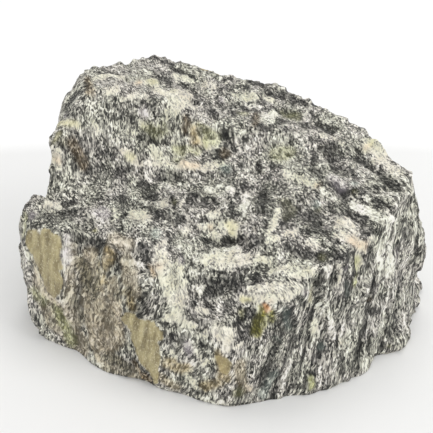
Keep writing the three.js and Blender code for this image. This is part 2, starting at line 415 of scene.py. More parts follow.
RIGHT, UP, BACK = picture_axes()
CAMERA_PLACE = CAMERA_TARGET + CAMERA_DISTANCE * BACK
FOCAL = PHOTO_SIDE / 2 / math.tan(CAMERA_FIELD / 2)

# Strokes: how close together their points are in half widths, how deep a mark reaches against how
# wide it is, and what a field says outside all marks
STROKE_SPACING = 0.7
MARK_DEPTH = 2.4
OUTSIDE_MARKS = -3.0
MARK_WANDER = [(7, 0.6), (3, 0.35)]  # how far apart the outlines' bends are, and how far they go, in mm
MARK_WANDER_SEEDS = (71, 81)


def cast_pixel(tree, x, y):
    """The point of the stone that the photograph shows at a pixel, and how far off it is, or None."""
    ray = RIGHT * (x - PHOTO_SIDE / 2) - UP * (y - PHOTO_SIDE / 2) - BACK * FOCAL
    ray /= np.linalg.norm(ray)
    place, _, _, _ = tree.ray_cast(Vector(CAMERA_PLACE), Vector(ray))
    if place is None:
        return None
    place = np.array(place)
    return place, float((CAMERA_PLACE - place) @ BACK)


def along_stroke(stops):
    """Points close together along a stroke, each with its half width."""
    if len(stops) == 1:
        yield stops[0]
    for a, b in zip(stops, stops[1:]):
        length = math.dist(a[:2], b[:2])
        count = max(2, math.ceil(length / (STROKE_SPACING * min(a[2], b[2]))) + 1)
        for n in range(count):
            t = n / (count - 1)
            yield tuple(p + (q - p) * t for p, q in zip(a, b))


def seen_point(place):
    """A place along the photograph's three axes, from the camera."""
    return np.array([(place - CAMERA_PLACE) @ axis for axis in (RIGHT, UP, BACK)])


def seen_places(points):
    """The points along the photograph's three axes, moved a little so that marks get bent outlines."""
    places = (points - CAMERA_PLACE) @ np.stack([RIGHT, UP, BACK], axis=1)
    for n, (spacing, reach) in enumerate(MARK_WANDER):
        for axis, seed in enumerate(MARK_WANDER_SEEDS):
            places[:, axis] += reach * noise(points, spacing, 1, seed + n)
    return places


def marked(places, tree, strokes):
    """How many mm inside the nearest stroke each point lies, drawn on the stone as the photo shows it."""
    field = np.full(len(places), OUTSIDE_MARKS)
    for stops in strokes:
        for x, y, half_width in along_stroke(stops):
            hit = cast_pixel(tree, x, y)
            if hit is None:
                continue
            half = half_width * hit[1] / FOCAL
            offset = places - seen_point(hit[0])
            reach = half - OUTSIDE_MARKS
            near = np.flatnonzero((np.abs(offset[:, 0]) < reach) & (np.abs(offset[:, 1]) < reach))
            right, up, back = offset[near].T
            inside = half - np.sqrt(right ** 2 + up ** 2 + (back / MARK_DEPTH) ** 2)
            field[near] = np.maximum(field[near], inside)
    return field


# Marks on the stone, as strokes: (x, y, half width) in the photograph's pixels at each stop
CREAM = [
    # foot of the nose
    [(171, 350, 2.5), (176, 362, 3.5)], [(196, 353, 3), (204, 363, 3.5)], [(186, 378, 3), (196, 387, 3.5)],
    # crest
    [(186, 92, 4), (192, 106, 5)], [(150, 152, 3), (158, 158, 4), (166, 160, 3)],
    [(196, 140, 3), (206, 144, 3), (216, 140, 3)],
    [(158, 92, 6), (172, 95, 9), (182, 100, 9), (176, 108, 8), (166, 113, 5)],
    [(135, 85, 3), (144, 84, 4), (152, 80, 5), (156, 87, 4)], [(95, 78, 3), (108, 77, 3), (122, 79, 3)],
    [(106, 92, 4), (115, 90, 5)], [(122, 99, 3), (134, 96, 3.5), (147, 98, 3)],
    [(93, 122, 3), (96, 130, 4), (94, 137, 3)], [(58, 123, 3), (68, 124, 4), (78, 124, 3)],
    [(60, 152, 3), (56, 160, 6), (58, 168, 4)], [(140, 123, 3), (146, 124, 2.5)],
    [(129, 133, 2.5), (136, 133, 2.5)], [(151, 147, 4), (159, 154, 5), (163, 161, 4)],
    [(121, 151, 3), (130, 157, 5), (134, 163, 2.5)], [(142, 164, 2.5), (156, 163, 3), (170, 163, 3)],
    [(173, 165, 4), (186, 166, 5), (204, 168, 4.5), (224, 165, 3)],
    [(208, 149, 2), (214, 145, 4), (219, 142, 2)], [(174, 143, 3), (179, 151, 3.5)],
    [(191, 122, 1.5), (193, 131, 2)], [(173, 76, 3), (182, 79, 3.5), (192, 83, 2.5)],
    [(204, 87, 4), (213, 88, 4)], [(234, 93, 3.5), (244, 96, 4.5), (254, 98, 4)],
    [(264, 98, 3), (272, 100, 3.5)],
    # left wall
    [(34, 264, 2.5), (37, 278, 3.5), (44, 294, 4), (54, 302, 4)],
    # top, right
    [(366, 142, 4), (376, 150, 5), (386, 161, 5), (397, 173, 4)],
    [(286, 172, 4), (292, 176, 5), (304, 179, 4), (314, 185, 3.5)], [(370, 140, 3.5), (378, 141, 3)],
    [(365, 147, 4), (376, 149, 6), (384, 155, 5)], [(376, 161, 4), (388, 166, 5), (400, 172, 4)],
    [(322, 136, 2.5), (332, 140, 2.5), (342, 146, 2.5)],
    # ledge
    [(42, 205, 3.5), (52, 205, 4), (59, 205, 2.5)], [(87, 214, 2.5)], [(113, 210, 3), (114, 219, 3)],
    [(133, 215, 5), (141, 216, 7), (147, 219, 4)], [(161, 203, 3.5), (166, 205, 3)],
    [(182, 199, 1.8), (182, 205, 1.8)], [(211, 214, 4.5), (216, 214, 4.5)],
    [(200, 227, 3), (210, 226, 3.5)], [(222, 225, 4), (232, 226, 5.5), (240, 226, 3)],
    [(224, 233, 3), (234, 234, 4)], [(212, 235, 4), (217, 236, 4)], [(186, 231, 4)],
    [(206, 262, 4), (218, 257, 5), (232, 254, 6), (246, 256, 5)],
    [(218, 264, 5), (232, 263, 6), (246, 263, 5)], [(258, 259, 5), (270, 261, 4)],
    [(270, 270, 3), (286, 269, 4), (300, 271, 3.5), (312, 271, 4)], [(290, 276, 4), (304, 275, 5)],
    [(316, 244, 4), (309, 241, 3)], [(268, 232, 3), (274, 222, 4), (277, 211, 3)],
    [(286, 234, 3), (296, 234, 3.5)], [(268, 241, 3), (280, 238, 3.5)],
    [(338, 226, 4), (347, 222, 5), (354, 230, 4)], [(336, 235, 4), (346, 234, 5)],
    [(354, 238, 5), (362, 243, 6), (364, 251, 4)], [(370, 240, 4), (375, 240, 3)], [(345, 246, 3)],
    # the nose
    [(161, 246, 5), (162, 262, 7.5), (166, 276, 9), (169, 292, 9)], [(177, 262, 3.5), (181, 272, 4.5)],
    [(177, 276, 5), (181, 284, 7), (182, 297, 7), (174, 310, 8)], [(164, 318, 4), (178, 318, 6)],
    [(172, 300, 7)], [(198, 311, 4), (206, 312, 4)],
    [(252, 290, 5), (266, 289, 7), (282, 291, 7), (296, 290, 6)],
    [(243, 298, 4), (258, 298, 6), (274, 299, 5), (288, 298, 4)],
    [(214, 331, 4), (222, 335, 7), (231, 332, 5), (226, 342, 5)],
    [(222, 350, 2), (232, 347, 3), (240, 346, 3)], [(205, 334, 4)], [(250, 386, 2.5), (252, 393, 2.5)],
    [(184, 324, 3), (196, 326, 3)],
    # right wall
    [(304, 274, 5)], [(311, 378, 2.5), (312, 387, 3)], [(311, 285, 3), (312, 296, 3), (308, 306, 2)],
    [(315, 321, 3), (314, 332, 4)], [(361, 258, 3), (359, 270, 3.5), (356, 282, 3)],
    [(341, 340, 2), (342, 348, 1.5)], [(336, 262, 1.2), (341, 268, 1.5), (341, 280, 1.5), (337, 288, 1.2)],
]
WHITE = [
    [(354, 204, 3.5), (362, 208, 4.5), (370, 213, 5), (378, 219, 4)], [(383, 219, 3), (392, 218, 3)],
    [(385, 225, 2.5), (390, 228, 2)], [(321, 189, 2.5), (328, 195, 2), (335, 200, 2)],
    [(124, 262, 3), (132, 262, 4), (142, 265, 3)], [(265, 117, 4), (274, 115, 4), (270, 122, 3)],
    [(142, 113, 3), (150, 114, 4)], [(202, 286, 3), (199, 293, 3)], [(197, 261, 2.5)],
    [(193, 272, 3.5), (197, 271, 2.5)], [(205, 396, 2.5), (211, 402, 2.5), (216, 405, 2)], [(205, 391, 2)],
    [(65, 238, 3.5), (65, 252, 4), (66, 266, 3.5), (66, 277, 2.5)], [(71, 246, 1.5), (71, 264, 1.5)],
    [(26, 247, 2), (29, 257, 2.5)], [(34, 268, 2), (38, 280, 2)],
    [(56, 297, 2), (64, 303, 3), (72, 292, 2)], [(84, 295, 2)],
    [(380, 243, 3), (379, 256, 4), (381, 268, 3)],
    [(388, 242, 3), (389, 256, 4), (389, 270, 4), (388, 276, 2)],
    [(323, 268, 2.5), (329, 267, 3), (328, 277, 3), (327, 284, 2)],
    [(330, 312, 2), (330, 322, 3.5), (330, 332, 4), (334, 338, 2)], [(99, 358, 3), (101, 366, 2.5)],
    [(118, 354, 1.5), (119, 362, 1.5)], [(115, 243, 3), (128, 246, 3)], [(397, 205, 2.5)],
    [(325, 123, 2.5)], [(296, 135, 3)], [(243, 132, 3)], [(252, 105, 2), (260, 108, 2)], [(231, 191, 3.5)],
    [(248, 197, 4), (244, 206, 4.5), (244, 213, 2.5)],
    [(203, 260, 3), (212, 254, 3), (222, 249, 3), (232, 246, 3.5), (241, 248, 2.5)],
    [(235, 382, 1.5), (230, 390, 1.5), (229, 397, 1.5)], [(218, 403, 2), (226, 403, 2)], [(318, 381, 2)],
    [(394, 343, 2)], [(408, 309, 2)], [(391, 284, 2), (391, 296, 2.5)], [(159, 268, 3), (163, 282, 3)],
    [(206, 190, 2), (220, 188, 2)],
]
SILVER = [
    [(274, 260, 4), (290, 262, 6), (306, 263, 5)], [(286, 294, 3), (280, 300, 3)],
    [(160, 64, 3), (176, 69, 4), (194, 73, 4)], [(140, 132, 4), (150, 142, 4)],
    [(176, 136, 4), (186, 150, 4)], [(318, 286, 3), (322, 300, 3)], [(344, 300, 3), (346, 320, 3)],
    # crest
    [(98, 80, 5), (108, 84, 6), (122, 86, 6), (132, 78, 5)], [(98, 98, 5), (106, 102, 5), (114, 104, 4)],
    [(138, 72, 5), (146, 70, 5)], [(205, 92, 5), (214, 95, 4)], [(236, 99, 4), (250, 92, 4)],
    [(196, 108, 6), (206, 120, 6), (214, 128, 6)], [(168, 122, 5), (178, 118, 5)],
    [(160, 152, 6), (176, 154, 6), (196, 156, 6)], [(62, 116, 3), (68, 116, 3)],
    [(104, 132, 5), (111, 140, 4)], [(88, 110, 5), (100, 110, 4)], [(206, 78, 5), (210, 84, 5)],
    [(190, 86, 3)], [(224, 100, 3)],
    # top, right
    [(304, 110, 4)], [(306, 134, 4), (300, 145, 5)], [(345, 130, 5), (356, 133, 4)],
    [(256, 140, 5), (246, 147, 4)], [(244, 172, 5), (252, 178, 3)], [(266, 166, 4)],
    [(270, 150, 4), (282, 150, 6), (290, 157, 5)], [(286, 165, 5), (298, 166, 5)],
    [(346, 163, 2.5), (356, 168, 2.5), (366, 172, 2.5), (374, 177, 2.5)], [(370, 182, 4), (376, 184, 3)],
    [(354, 185, 4)], [(386, 196, 4), (398, 194, 3)], [(334, 176, 4)], [(320, 203, 3), (328, 206, 3)],
    [(388, 210, 3)],
    # ledge
    [(165, 186, 6), (172, 190, 5)], [(208, 186, 4), (218, 192, 6), (228, 190, 5)],
    [(223, 200, 3), (224, 210, 4)], [(200, 212, 4)], [(164, 220, 4)], [(186, 227, 3.5)], [(157, 234, 5)],
    [(180, 244, 6), (188, 250, 6), (196, 255, 5)], [(90, 214, 5), (102, 212, 7), (104, 222, 5)],
    [(250, 234, 3)], [(326, 226, 3.5)], [(302, 264, 4), (316, 264, 4)],
    # left wall
    [(82, 254, 4), (92, 258, 4)], [(92, 326, 3), (95, 340, 5)], [(88, 356, 6), (98, 360, 6)],
    [(116, 308, 6), (118, 324, 6), (117, 338, 5)], [(104, 272, 3), (104, 282, 3)],
    # the nose
    [(160, 348, 4), (164, 362, 5)], [(188, 362, 4), (190, 370, 4)], [(203, 366, 4), (206, 376, 4)],
    [(192, 381, 4)], [(200, 333, 3)], [(214, 318, 4), (214, 326, 4)], [(220, 300, 3), (217, 307, 3)],
    [(218, 346, 3)],
    # right wall
    [(280, 330, 2), (277, 344, 3), (273, 357, 3)], [(266, 354, 2), (263, 362, 2)],
    [(300, 322, 2), (297, 340, 2.5), (294, 356, 3), (290, 366, 3), (285, 376, 3), (282, 385, 2)],
    [(326, 300, 4), (322, 313, 4)], [(344, 318, 2), (344, 328, 2), (341, 336, 2)],
    [(356, 298, 2.5), (355, 320, 2), (354, 340, 2.5), (352, 352, 2.5), (348, 366, 2)],
    [(367, 274, 3), (367, 286, 4), (363, 297, 2.5)],
    [(384, 300, 2), (385, 312, 3), (382, 326, 2.5), (380, 336, 2)], [(405, 290, 3), (404, 300, 3)],
    [(406, 318, 4), (404, 330, 3)], [(406, 250, 2.5), (405, 264, 2.5), (406, 276, 2)],
    [(412, 206, 3), (414, 220, 3)], [(366, 342, 1.8), (364, 354, 1.8), (363, 362, 1.8)],
    [(375, 345, 1.8), (372, 354, 1.8)], [(326, 364, 3), (326, 376, 3)], [(334, 358, 2), (334, 374, 2.5)],
    [(312, 344, 4), (308, 355, 3)], [(373, 334, 3), (376, 322, 2)],
]
BLACK = [
    [(380, 174, 3.5), (389, 180, 5), (397, 186, 3.5)], [(252, 312, 3), (257, 322, 5), (254, 334, 4)],
    # crest and its rim
    [(66, 110, 2), (70, 104, 4), (76, 97, 4), (80, 92, 3)], [(85, 80, 2.5), (88, 88, 3.5)],
    [(98, 75, 1.2), (110, 74, 1.2), (120, 75, 1.2)], [(108, 106, 2.5), (115, 106, 2.5)],
    [(107, 117, 2), (116, 118, 2)], [(115, 98, 1.8), (123, 96, 1.8)], [(60, 132, 2), (58, 144, 2)],
    [(74, 154, 4), (76, 166, 4)], [(119, 170, 2), (131, 170, 2)],
    [(151, 95, 2.5), (153, 100, 2.5), (152, 106, 2.5), (155, 112, 2.5), (160, 117, 2)],
    [(138, 105, 1.5), (148, 104, 1.5)], [(150, 59, 2), (156, 60, 2)], [(163, 63, 2.5), (172, 64, 2.5)],
    [(170, 68, 2), (178, 71, 3.5), (186, 75, 2.5), (194, 79, 2)],
    [(152, 74, 1.5), (160, 77, 2.5), (168, 81, 3)],
    [(176, 83, 1.2), (186, 87, 1.5), (192, 91, 3), (197, 96, 2.5)], [(195, 101, 2), (199, 102, 1.5)],
    [(201, 96, 2.2), (205, 98, 1.8)], [(217, 91, 2), (221, 90, 1.5)], [(223, 94, 2.5), (226, 97, 1.5)],
    [(217, 99, 1.5), (218, 104, 2), (223, 107, 2.5)], [(205, 106, 2), (210, 105, 1.5)],
    [(206, 112, 2.5), (213, 112, 3), (216, 118, 2.5)], [(230, 110, 2), (233, 115, 2.5)],
    [(224, 79, 2), (231, 81, 1.5)], [(226, 87, 2), (236, 88, 1.5), (241, 87, 2), (247, 88, 3)],
    [(252, 84, 4), (259, 85, 4), (265, 90, 3)], [(270, 93, 2.5)], [(276, 96, 3.5), (282, 97, 2)],
    [(287, 92, 2.5)], [(292, 99, 3), (300, 102, 3.5), (305, 104, 2)], [(310, 102, 2.5), (316, 106, 2)],
    # scoop: dark marks, partly painted shade in its hollow
    [(188, 120, 2.5), (186, 127, 4), (185, 133, 2)], [(163, 142, 2.5), (166, 144, 2)],
    [(183, 144, 1.2), (184, 151, 1.5)], [(225, 136, 3)], [(223, 152, 4), (218, 158, 2.5)],
    [(232, 144, 2.5), (235, 149, 2)],
    # top, right
    [(258, 102, 2), (263, 105, 2)], [(272, 109, 2), (279, 112, 2)], [(244, 106, 3), (248, 109, 2.5)],
    [(262, 127, 2), (269, 129, 3.5)], [(277, 124, 2.5), (284, 123, 2.5), (290, 122, 3)], [(285, 130, 2)],
    [(312, 113, 3), (315, 118, 3)], [(317, 123, 3.5), (320, 125, 3.5)],
    [(324, 129, 3), (330, 131, 3.5), (337, 129, 1.5)], [(311, 139, 2.5), (320, 139, 2)],
    [(320, 147, 2.5), (329, 147, 4.5), (334, 150, 4.5), (332, 156, 4)], [(342, 152, 2), (343, 157, 2)],
    [(289, 154, 1.5), (296, 155, 2)], [(273, 167, 3), (280, 166, 3)], [(313, 154, 2.5), (313, 163, 3)],
    [(312, 169, 3), (318, 172, 4.5), (320, 178, 2.5)], [(305, 165, 2)], [(333, 165, 2.5), (336, 168, 2)],
    [(341, 165, 2)], [(346, 166, 2)], [(344, 173, 2)], [(352, 170, 1.5)], [(358, 149, 2), (360, 156, 3)],
    [(352, 159, 2.5), (360, 161, 4.5), (368, 163, 4), (372, 167, 2.5)],
    [(379, 174, 3.5), (386, 179, 5.5), (394, 184, 5), (400, 187, 3)], [(404, 184, 1.8)],
    [(352, 175, 1.5), (359, 177, 1.5)], [(354, 194, 4), (362, 197, 3.5)],
    [(330, 185, 2.5), (336, 188, 2.5)], [(338, 194, 3), (346, 193, 4)], [(325, 194, 1.2), (329, 198, 1.5)],
    [(376, 189, 2.5), (383, 188, 2)], [(374, 201, 2), (380, 201, 2.5)], [(241, 165, 2.5)],
    [(258, 163, 2), (259, 169, 3)], [(269, 178, 3)], [(243, 186, 5), (249, 187, 3)],
    [(263, 190, 4), (262, 200, 5), (260, 210, 5)], [(298, 196, 3), (302, 199, 2)],
    [(298, 207, 2), (299, 214, 3)], [(306, 184, 1.8), (312, 188, 2), (317, 193, 2.5)],
    [(308, 218, 4), (316, 224, 6), (314, 214, 4)], [(302, 231, 1.5), (316, 231, 1.5), (330, 231, 1.2)],
    [(327, 236, 3), (332, 240, 2), (339, 240, 2)],
    [(358, 214, 2.5), (364, 219, 3.5), (372, 223, 2.5), (378, 227, 2)], [(364, 230, 2.5), (368, 234, 2)],
    [(376, 231, 3), (381, 232, 2)], [(390, 206, 2), (393, 212, 2.5)], [(378, 209, 2)],
    [(345, 206, 2), (352, 206, 2)], [(343, 212, 2.5), (347, 217, 3)], [(334, 211, 2.5)], [(334, 224, 2.5)],
    # ledge
    [(21, 206, 2), (28, 204, 2)], [(34, 225, 2), (40, 225, 2)],
    [(53, 213, 2.5), (64, 213, 3.5), (72, 212, 2.5)], [(62, 203, 1.5), (76, 202, 1.5)], [(93, 225, 2)],
    [(122, 200, 3), (128, 204, 2)], [(124, 212, 1.8), (124, 221, 1.8)],
    [(141, 184, 3), (148, 188, 4), (154, 188, 3)], [(144, 197, 3), (153, 198, 2.5)],
    [(151, 207, 2), (155, 212, 3), (155, 219, 2.5)], [(174, 174, 2.5), (178, 179, 3), (183, 181, 2)],
    [(172, 198, 2.5), (175, 205, 3)], [(188, 200, 3.5), (194, 195, 3.5)], [(207, 197, 2.5)],
    [(214, 199, 3), (217, 204, 2)], [(201, 217, 2), (206, 219, 2)], [(178, 222, 2.5), (183, 218, 2)],
    [(233, 209, 3.5), (233, 216, 2.5)], [(236, 196, 2.5)], [(168, 233, 2.5), (170, 239, 2.5)],
    [(204, 241, 2.5), (214, 244, 2)], [(224, 241, 2.5), (233, 239, 3), (240, 238, 2.5)],
    [(253, 238, 2), (262, 241, 2.5)], [(252, 246, 2)], [(264, 222, 2.5), (267, 228, 2.5)],
    [(284, 222, 3), (290, 217, 3)], [(303, 250, 5), (306, 256, 4)], [(288, 249, 3), (294, 252, 3)],
    [(319, 254, 3.5), (326, 255, 3)], [(332, 248, 3), (337, 256, 3)],
    [(346, 256, 3), (355, 253, 3), (357, 259, 2)], [(192, 263, 2.5)], [(204, 267, 2)],
    [(219, 275, 2.5), (226, 273, 1.5)], [(258, 268, 3), (264, 270, 2)], [(256, 275, 5), (254, 283, 4)],
    # left wall: the first two strokes are painted shade in the hollow under the ledge, and the stroke from
    # (133, 358) is a painted shadow beside the plate's raised edge
    [(78, 242, 3.5), (86, 243, 4)], [(95, 242, 4.5), (104, 244, 4), (98, 252, 4)],
    [(117, 257, 3.5), (119, 267, 4)], [(144, 246, 3), (143, 256, 3), (150, 257, 2.5)],
    [(142, 285, 1.5), (142, 300, 2), (143, 307, 3), (146, 314, 2.5)], [(39, 286, 1.5)],
    [(43, 303, 2), (46, 310, 2)], [(34, 316, 2), (39, 323, 2)], [(77, 328, 1.5), (78, 345, 1.5)],
    [(115, 343, 1.2), (121, 347, 1.5), (130, 346, 1.2)],
    [(133, 358, 1.5), (140, 366, 2), (146, 374, 2.5), (152, 382, 2)],
    [(152, 314, 1.5), (159, 320, 1.5), (168, 324, 1.5)], [(172, 336, 2), (172, 341, 2)],
    # the nose; the two thin strokes along its foot, from (235, 404) and from (266, 400), are painted shade
    # where it meets the table
    [(206, 280, 3), (212, 286, 5), (222, 289, 5), (232, 281, 5), (241, 278, 3)],
    [(206, 293, 4), (214, 294, 3.5)], [(234, 291, 3), (240, 287, 2.5)], [(188, 277, 2), (191, 283, 2)],
    [(206, 306, 3), (213, 307, 3)], [(227, 304, 3)], [(194, 303, 2.5), (193, 308, 1.5)],
    [(183, 293, 1.5), (191, 293, 2)], [(246, 311, 2.5)], [(236, 325, 3), (244, 320, 3)],
    [(240, 333, 3), (241, 338, 3.5)], [(247, 329, 3), (251, 331, 2.5)], [(245, 342, 2.5)],
    [(202, 345, 2.5), (209, 347, 2)], [(215, 383, 3)], [(237, 383, 3.5), (240, 391, 4)],
    [(235, 404, 1.5), (252, 404, 1.5)], [(266, 400, 1.8), (274, 398, 1.8)], [(300, 283, 2), (306, 284, 2)],
    # right wall
    [(300, 298, 3), (304, 304, 3)], [(284, 314, 3.5), (290, 312, 5), (292, 324, 4)],
    [(294, 334, 2.5), (291, 345, 3), (288, 356, 2)],
    [(321, 284, 2.5), (320, 298, 2.5), (315, 310, 3), (311, 324, 2.5), (309, 338, 3)],
    [(309, 338, 3), (305, 350, 3), (302, 362, 2.5), (298, 374, 2.5), (294, 386, 2)],
    [(336, 268, 2.5), (336, 279, 3.5), (334, 288, 2.5), (330, 298, 1.5)],
    [(348, 282, 3), (347, 294, 2.5), (346, 305, 2)], [(372, 250, 2.5), (370, 258, 2.5), (367, 267, 2)],
    [(375, 274, 2), (374, 286, 2.5)], [(381, 298, 2.5), (384, 290, 1.5)],
    [(368, 300, 3), (368, 312, 3.5), (377, 313, 3)], [(367, 325, 3), (364, 334, 2.5)],
    [(361, 332, 2), (360, 345, 2.5), (356, 358, 3), (354, 370, 2)], [(369, 341, 2), (369, 350, 2)],
    [(341, 353, 2), (342, 364, 2.5), (341, 374, 2.5)], [(322, 345, 4), (325, 350, 4)],
    [(345, 312, 1.5), (350, 322, 2)], [(312, 374, 2.5)], [(302, 388, 2), (305, 381, 2)],
    [(268, 363, 2.5), (264, 375, 3), (262, 388, 3)], [(325, 389, 1.5), (331, 384, 1.2)],
    [(403, 272, 1.8), (400, 286, 2.5), (396, 300, 3), (393, 312, 2.5), (391, 321, 1.5)],
    [(391, 327, 3), (389, 336, 2.5)], [(380, 344, 2.5), (378, 353, 2.5)],
    [(418, 238, 1.5), (418, 252, 2.5), (415, 266, 3), (414, 277, 2.5), (412, 288, 1.5)],
    [(403, 229, 2.5), (405, 236, 2)], [(406, 206, 2), (407, 212, 1.5)], [(404, 217, 1.2), (404, 224, 1.2)],
    [(409, 218, 1.2), (408, 227, 1.5)],
]
SLATE = [
    [(276, 326, 3), (273, 348, 4.5), (269, 372, 4)], [(292, 318, 2.5), (290, 342, 3.5), (285, 366, 3.5)],
    # crest
    [(68, 112, 5), (74, 114, 4)], [(70, 140, 5), (76, 150, 7), (83, 162, 7)],
    [(98, 142, 2.5), (98, 156, 2.5)], [(103, 154, 4), (112, 157, 4)],
    [(122, 114, 4), (130, 118, 5), (134, 125, 4)], [(90, 170, 7), (106, 173, 7), (122, 176, 6)],
    [(140, 138, 4), (150, 131, 5), (160, 131, 5)], [(148, 143, 4), (156, 140, 4)], [(162, 73, 3)],
    [(190, 98, 3)], [(228, 132, 5), (230, 138, 5)], [(228, 150, 6), (214, 155, 5)],
    [(160, 176, 5), (172, 176, 4)],
    # top, right
    [(232, 104, 3), (238, 104, 3)], [(256, 112, 3), (254, 122, 4), (258, 127, 3)],
    [(284, 111, 4), (291, 114, 5), (298, 113, 4)], [(300, 124, 4), (309, 127, 4)],
    [(270, 92, 4), (284, 95, 4), (296, 103, 4)], [(224, 174, 3), (233, 174, 3)],
    [(326, 152, 5), (336, 156, 6)], [(334, 168, 5), (346, 170, 6)], [(336, 187, 5), (342, 195, 6)],
    [(324, 168, 3)], [(330, 208, 5), (346, 213, 7), (353, 212, 4)], [(270, 186, 5), (281, 188, 4)],
    [(264, 200, 8), (267, 212, 7)], [(286, 204, 6), (294, 211, 7)], [(306, 216, 7), (318, 218, 7)],
    [(380, 206, 4), (388, 205, 4)], [(362, 192, 4), (372, 194, 4)],
    # ledge
    [(143, 190, 6), (152, 194, 6)], [(188, 203, 5), (198, 203, 5), (208, 206, 4)],
    [(176, 218, 5), (160, 214, 4)], [(208, 242, 4), (232, 242, 4), (256, 243, 5)],
    [(48, 218, 5), (60, 217, 5), (74, 213, 4)], [(334, 250, 6), (348, 258, 7)],
    [(300, 252, 7), (322, 254, 6)], [(346, 268, 5), (350, 278, 4)], [(178, 258, 4), (183, 263, 3)],
    [(366, 228, 5), (376, 232, 4)],
    # left wall: the first stroke is painted shade in the hollow under the ledge, and the second darkens the
    # recess below it, partly as painted shade
    [(88, 245, 8), (100, 246, 6)], [(84, 268, 7), (86, 284, 8), (80, 300, 6), (78, 316, 5)],
    [(104, 314, 3.5), (104, 326, 3.5)], [(112, 353, 5), (122, 362, 7), (132, 368, 5)],
    [(118, 257, 5), (119, 268, 5)], [(146, 250, 5), (149, 262, 4)], [(132, 292, 4), (134, 306, 4)],
    # the nose
    [(214, 286, 8), (232, 284, 7)], [(210, 297, 5)], [(228, 309, 5)], [(240, 319, 6), (246, 313, 5)],
    [(246, 336, 6)], [(214, 380, 5)], [(239, 386, 6), (238, 395, 5)],
    # right wall
    [(286, 318, 7), (292, 330, 5), (288, 346, 5)], [(304, 302, 5)], [(304, 330, 4), (302, 343, 4)],
    [(318, 352, 5), (314, 363, 5)], [(374, 290, 4), (379, 282, 3)], [(372, 311, 6)], [(366, 331, 4)],
    [(358, 346, 4), (354, 364, 4)], [(344, 366, 4)], [(398, 246, 3), (397, 258, 3)],
    [(264, 370, 5), (262, 384, 5)], [(272, 392, 4)], [(389, 330, 4), (391, 338, 4)], [(302, 385, 4)],
]
SLABS = [
    [(33, 237, 8), (37, 245, 10), (44, 256, 12), (48, 268, 12), (52, 280, 12), (54, 290, 7), (54, 296, 3)],
    [(46, 237, 8), (52, 243, 9), (53, 262, 10)],
    [(130, 314, 3), (130, 320, 8), (138, 328, 10), (150, 331, 9), (159, 335, 5)],
    [(144, 341, 16), (147, 350, 15), (150, 358, 11), (152, 366, 7), (154, 374, 5), (156, 381, 3)],
    [(219, 357, 4), (225, 363, 7), (225, 369, 5)],
]
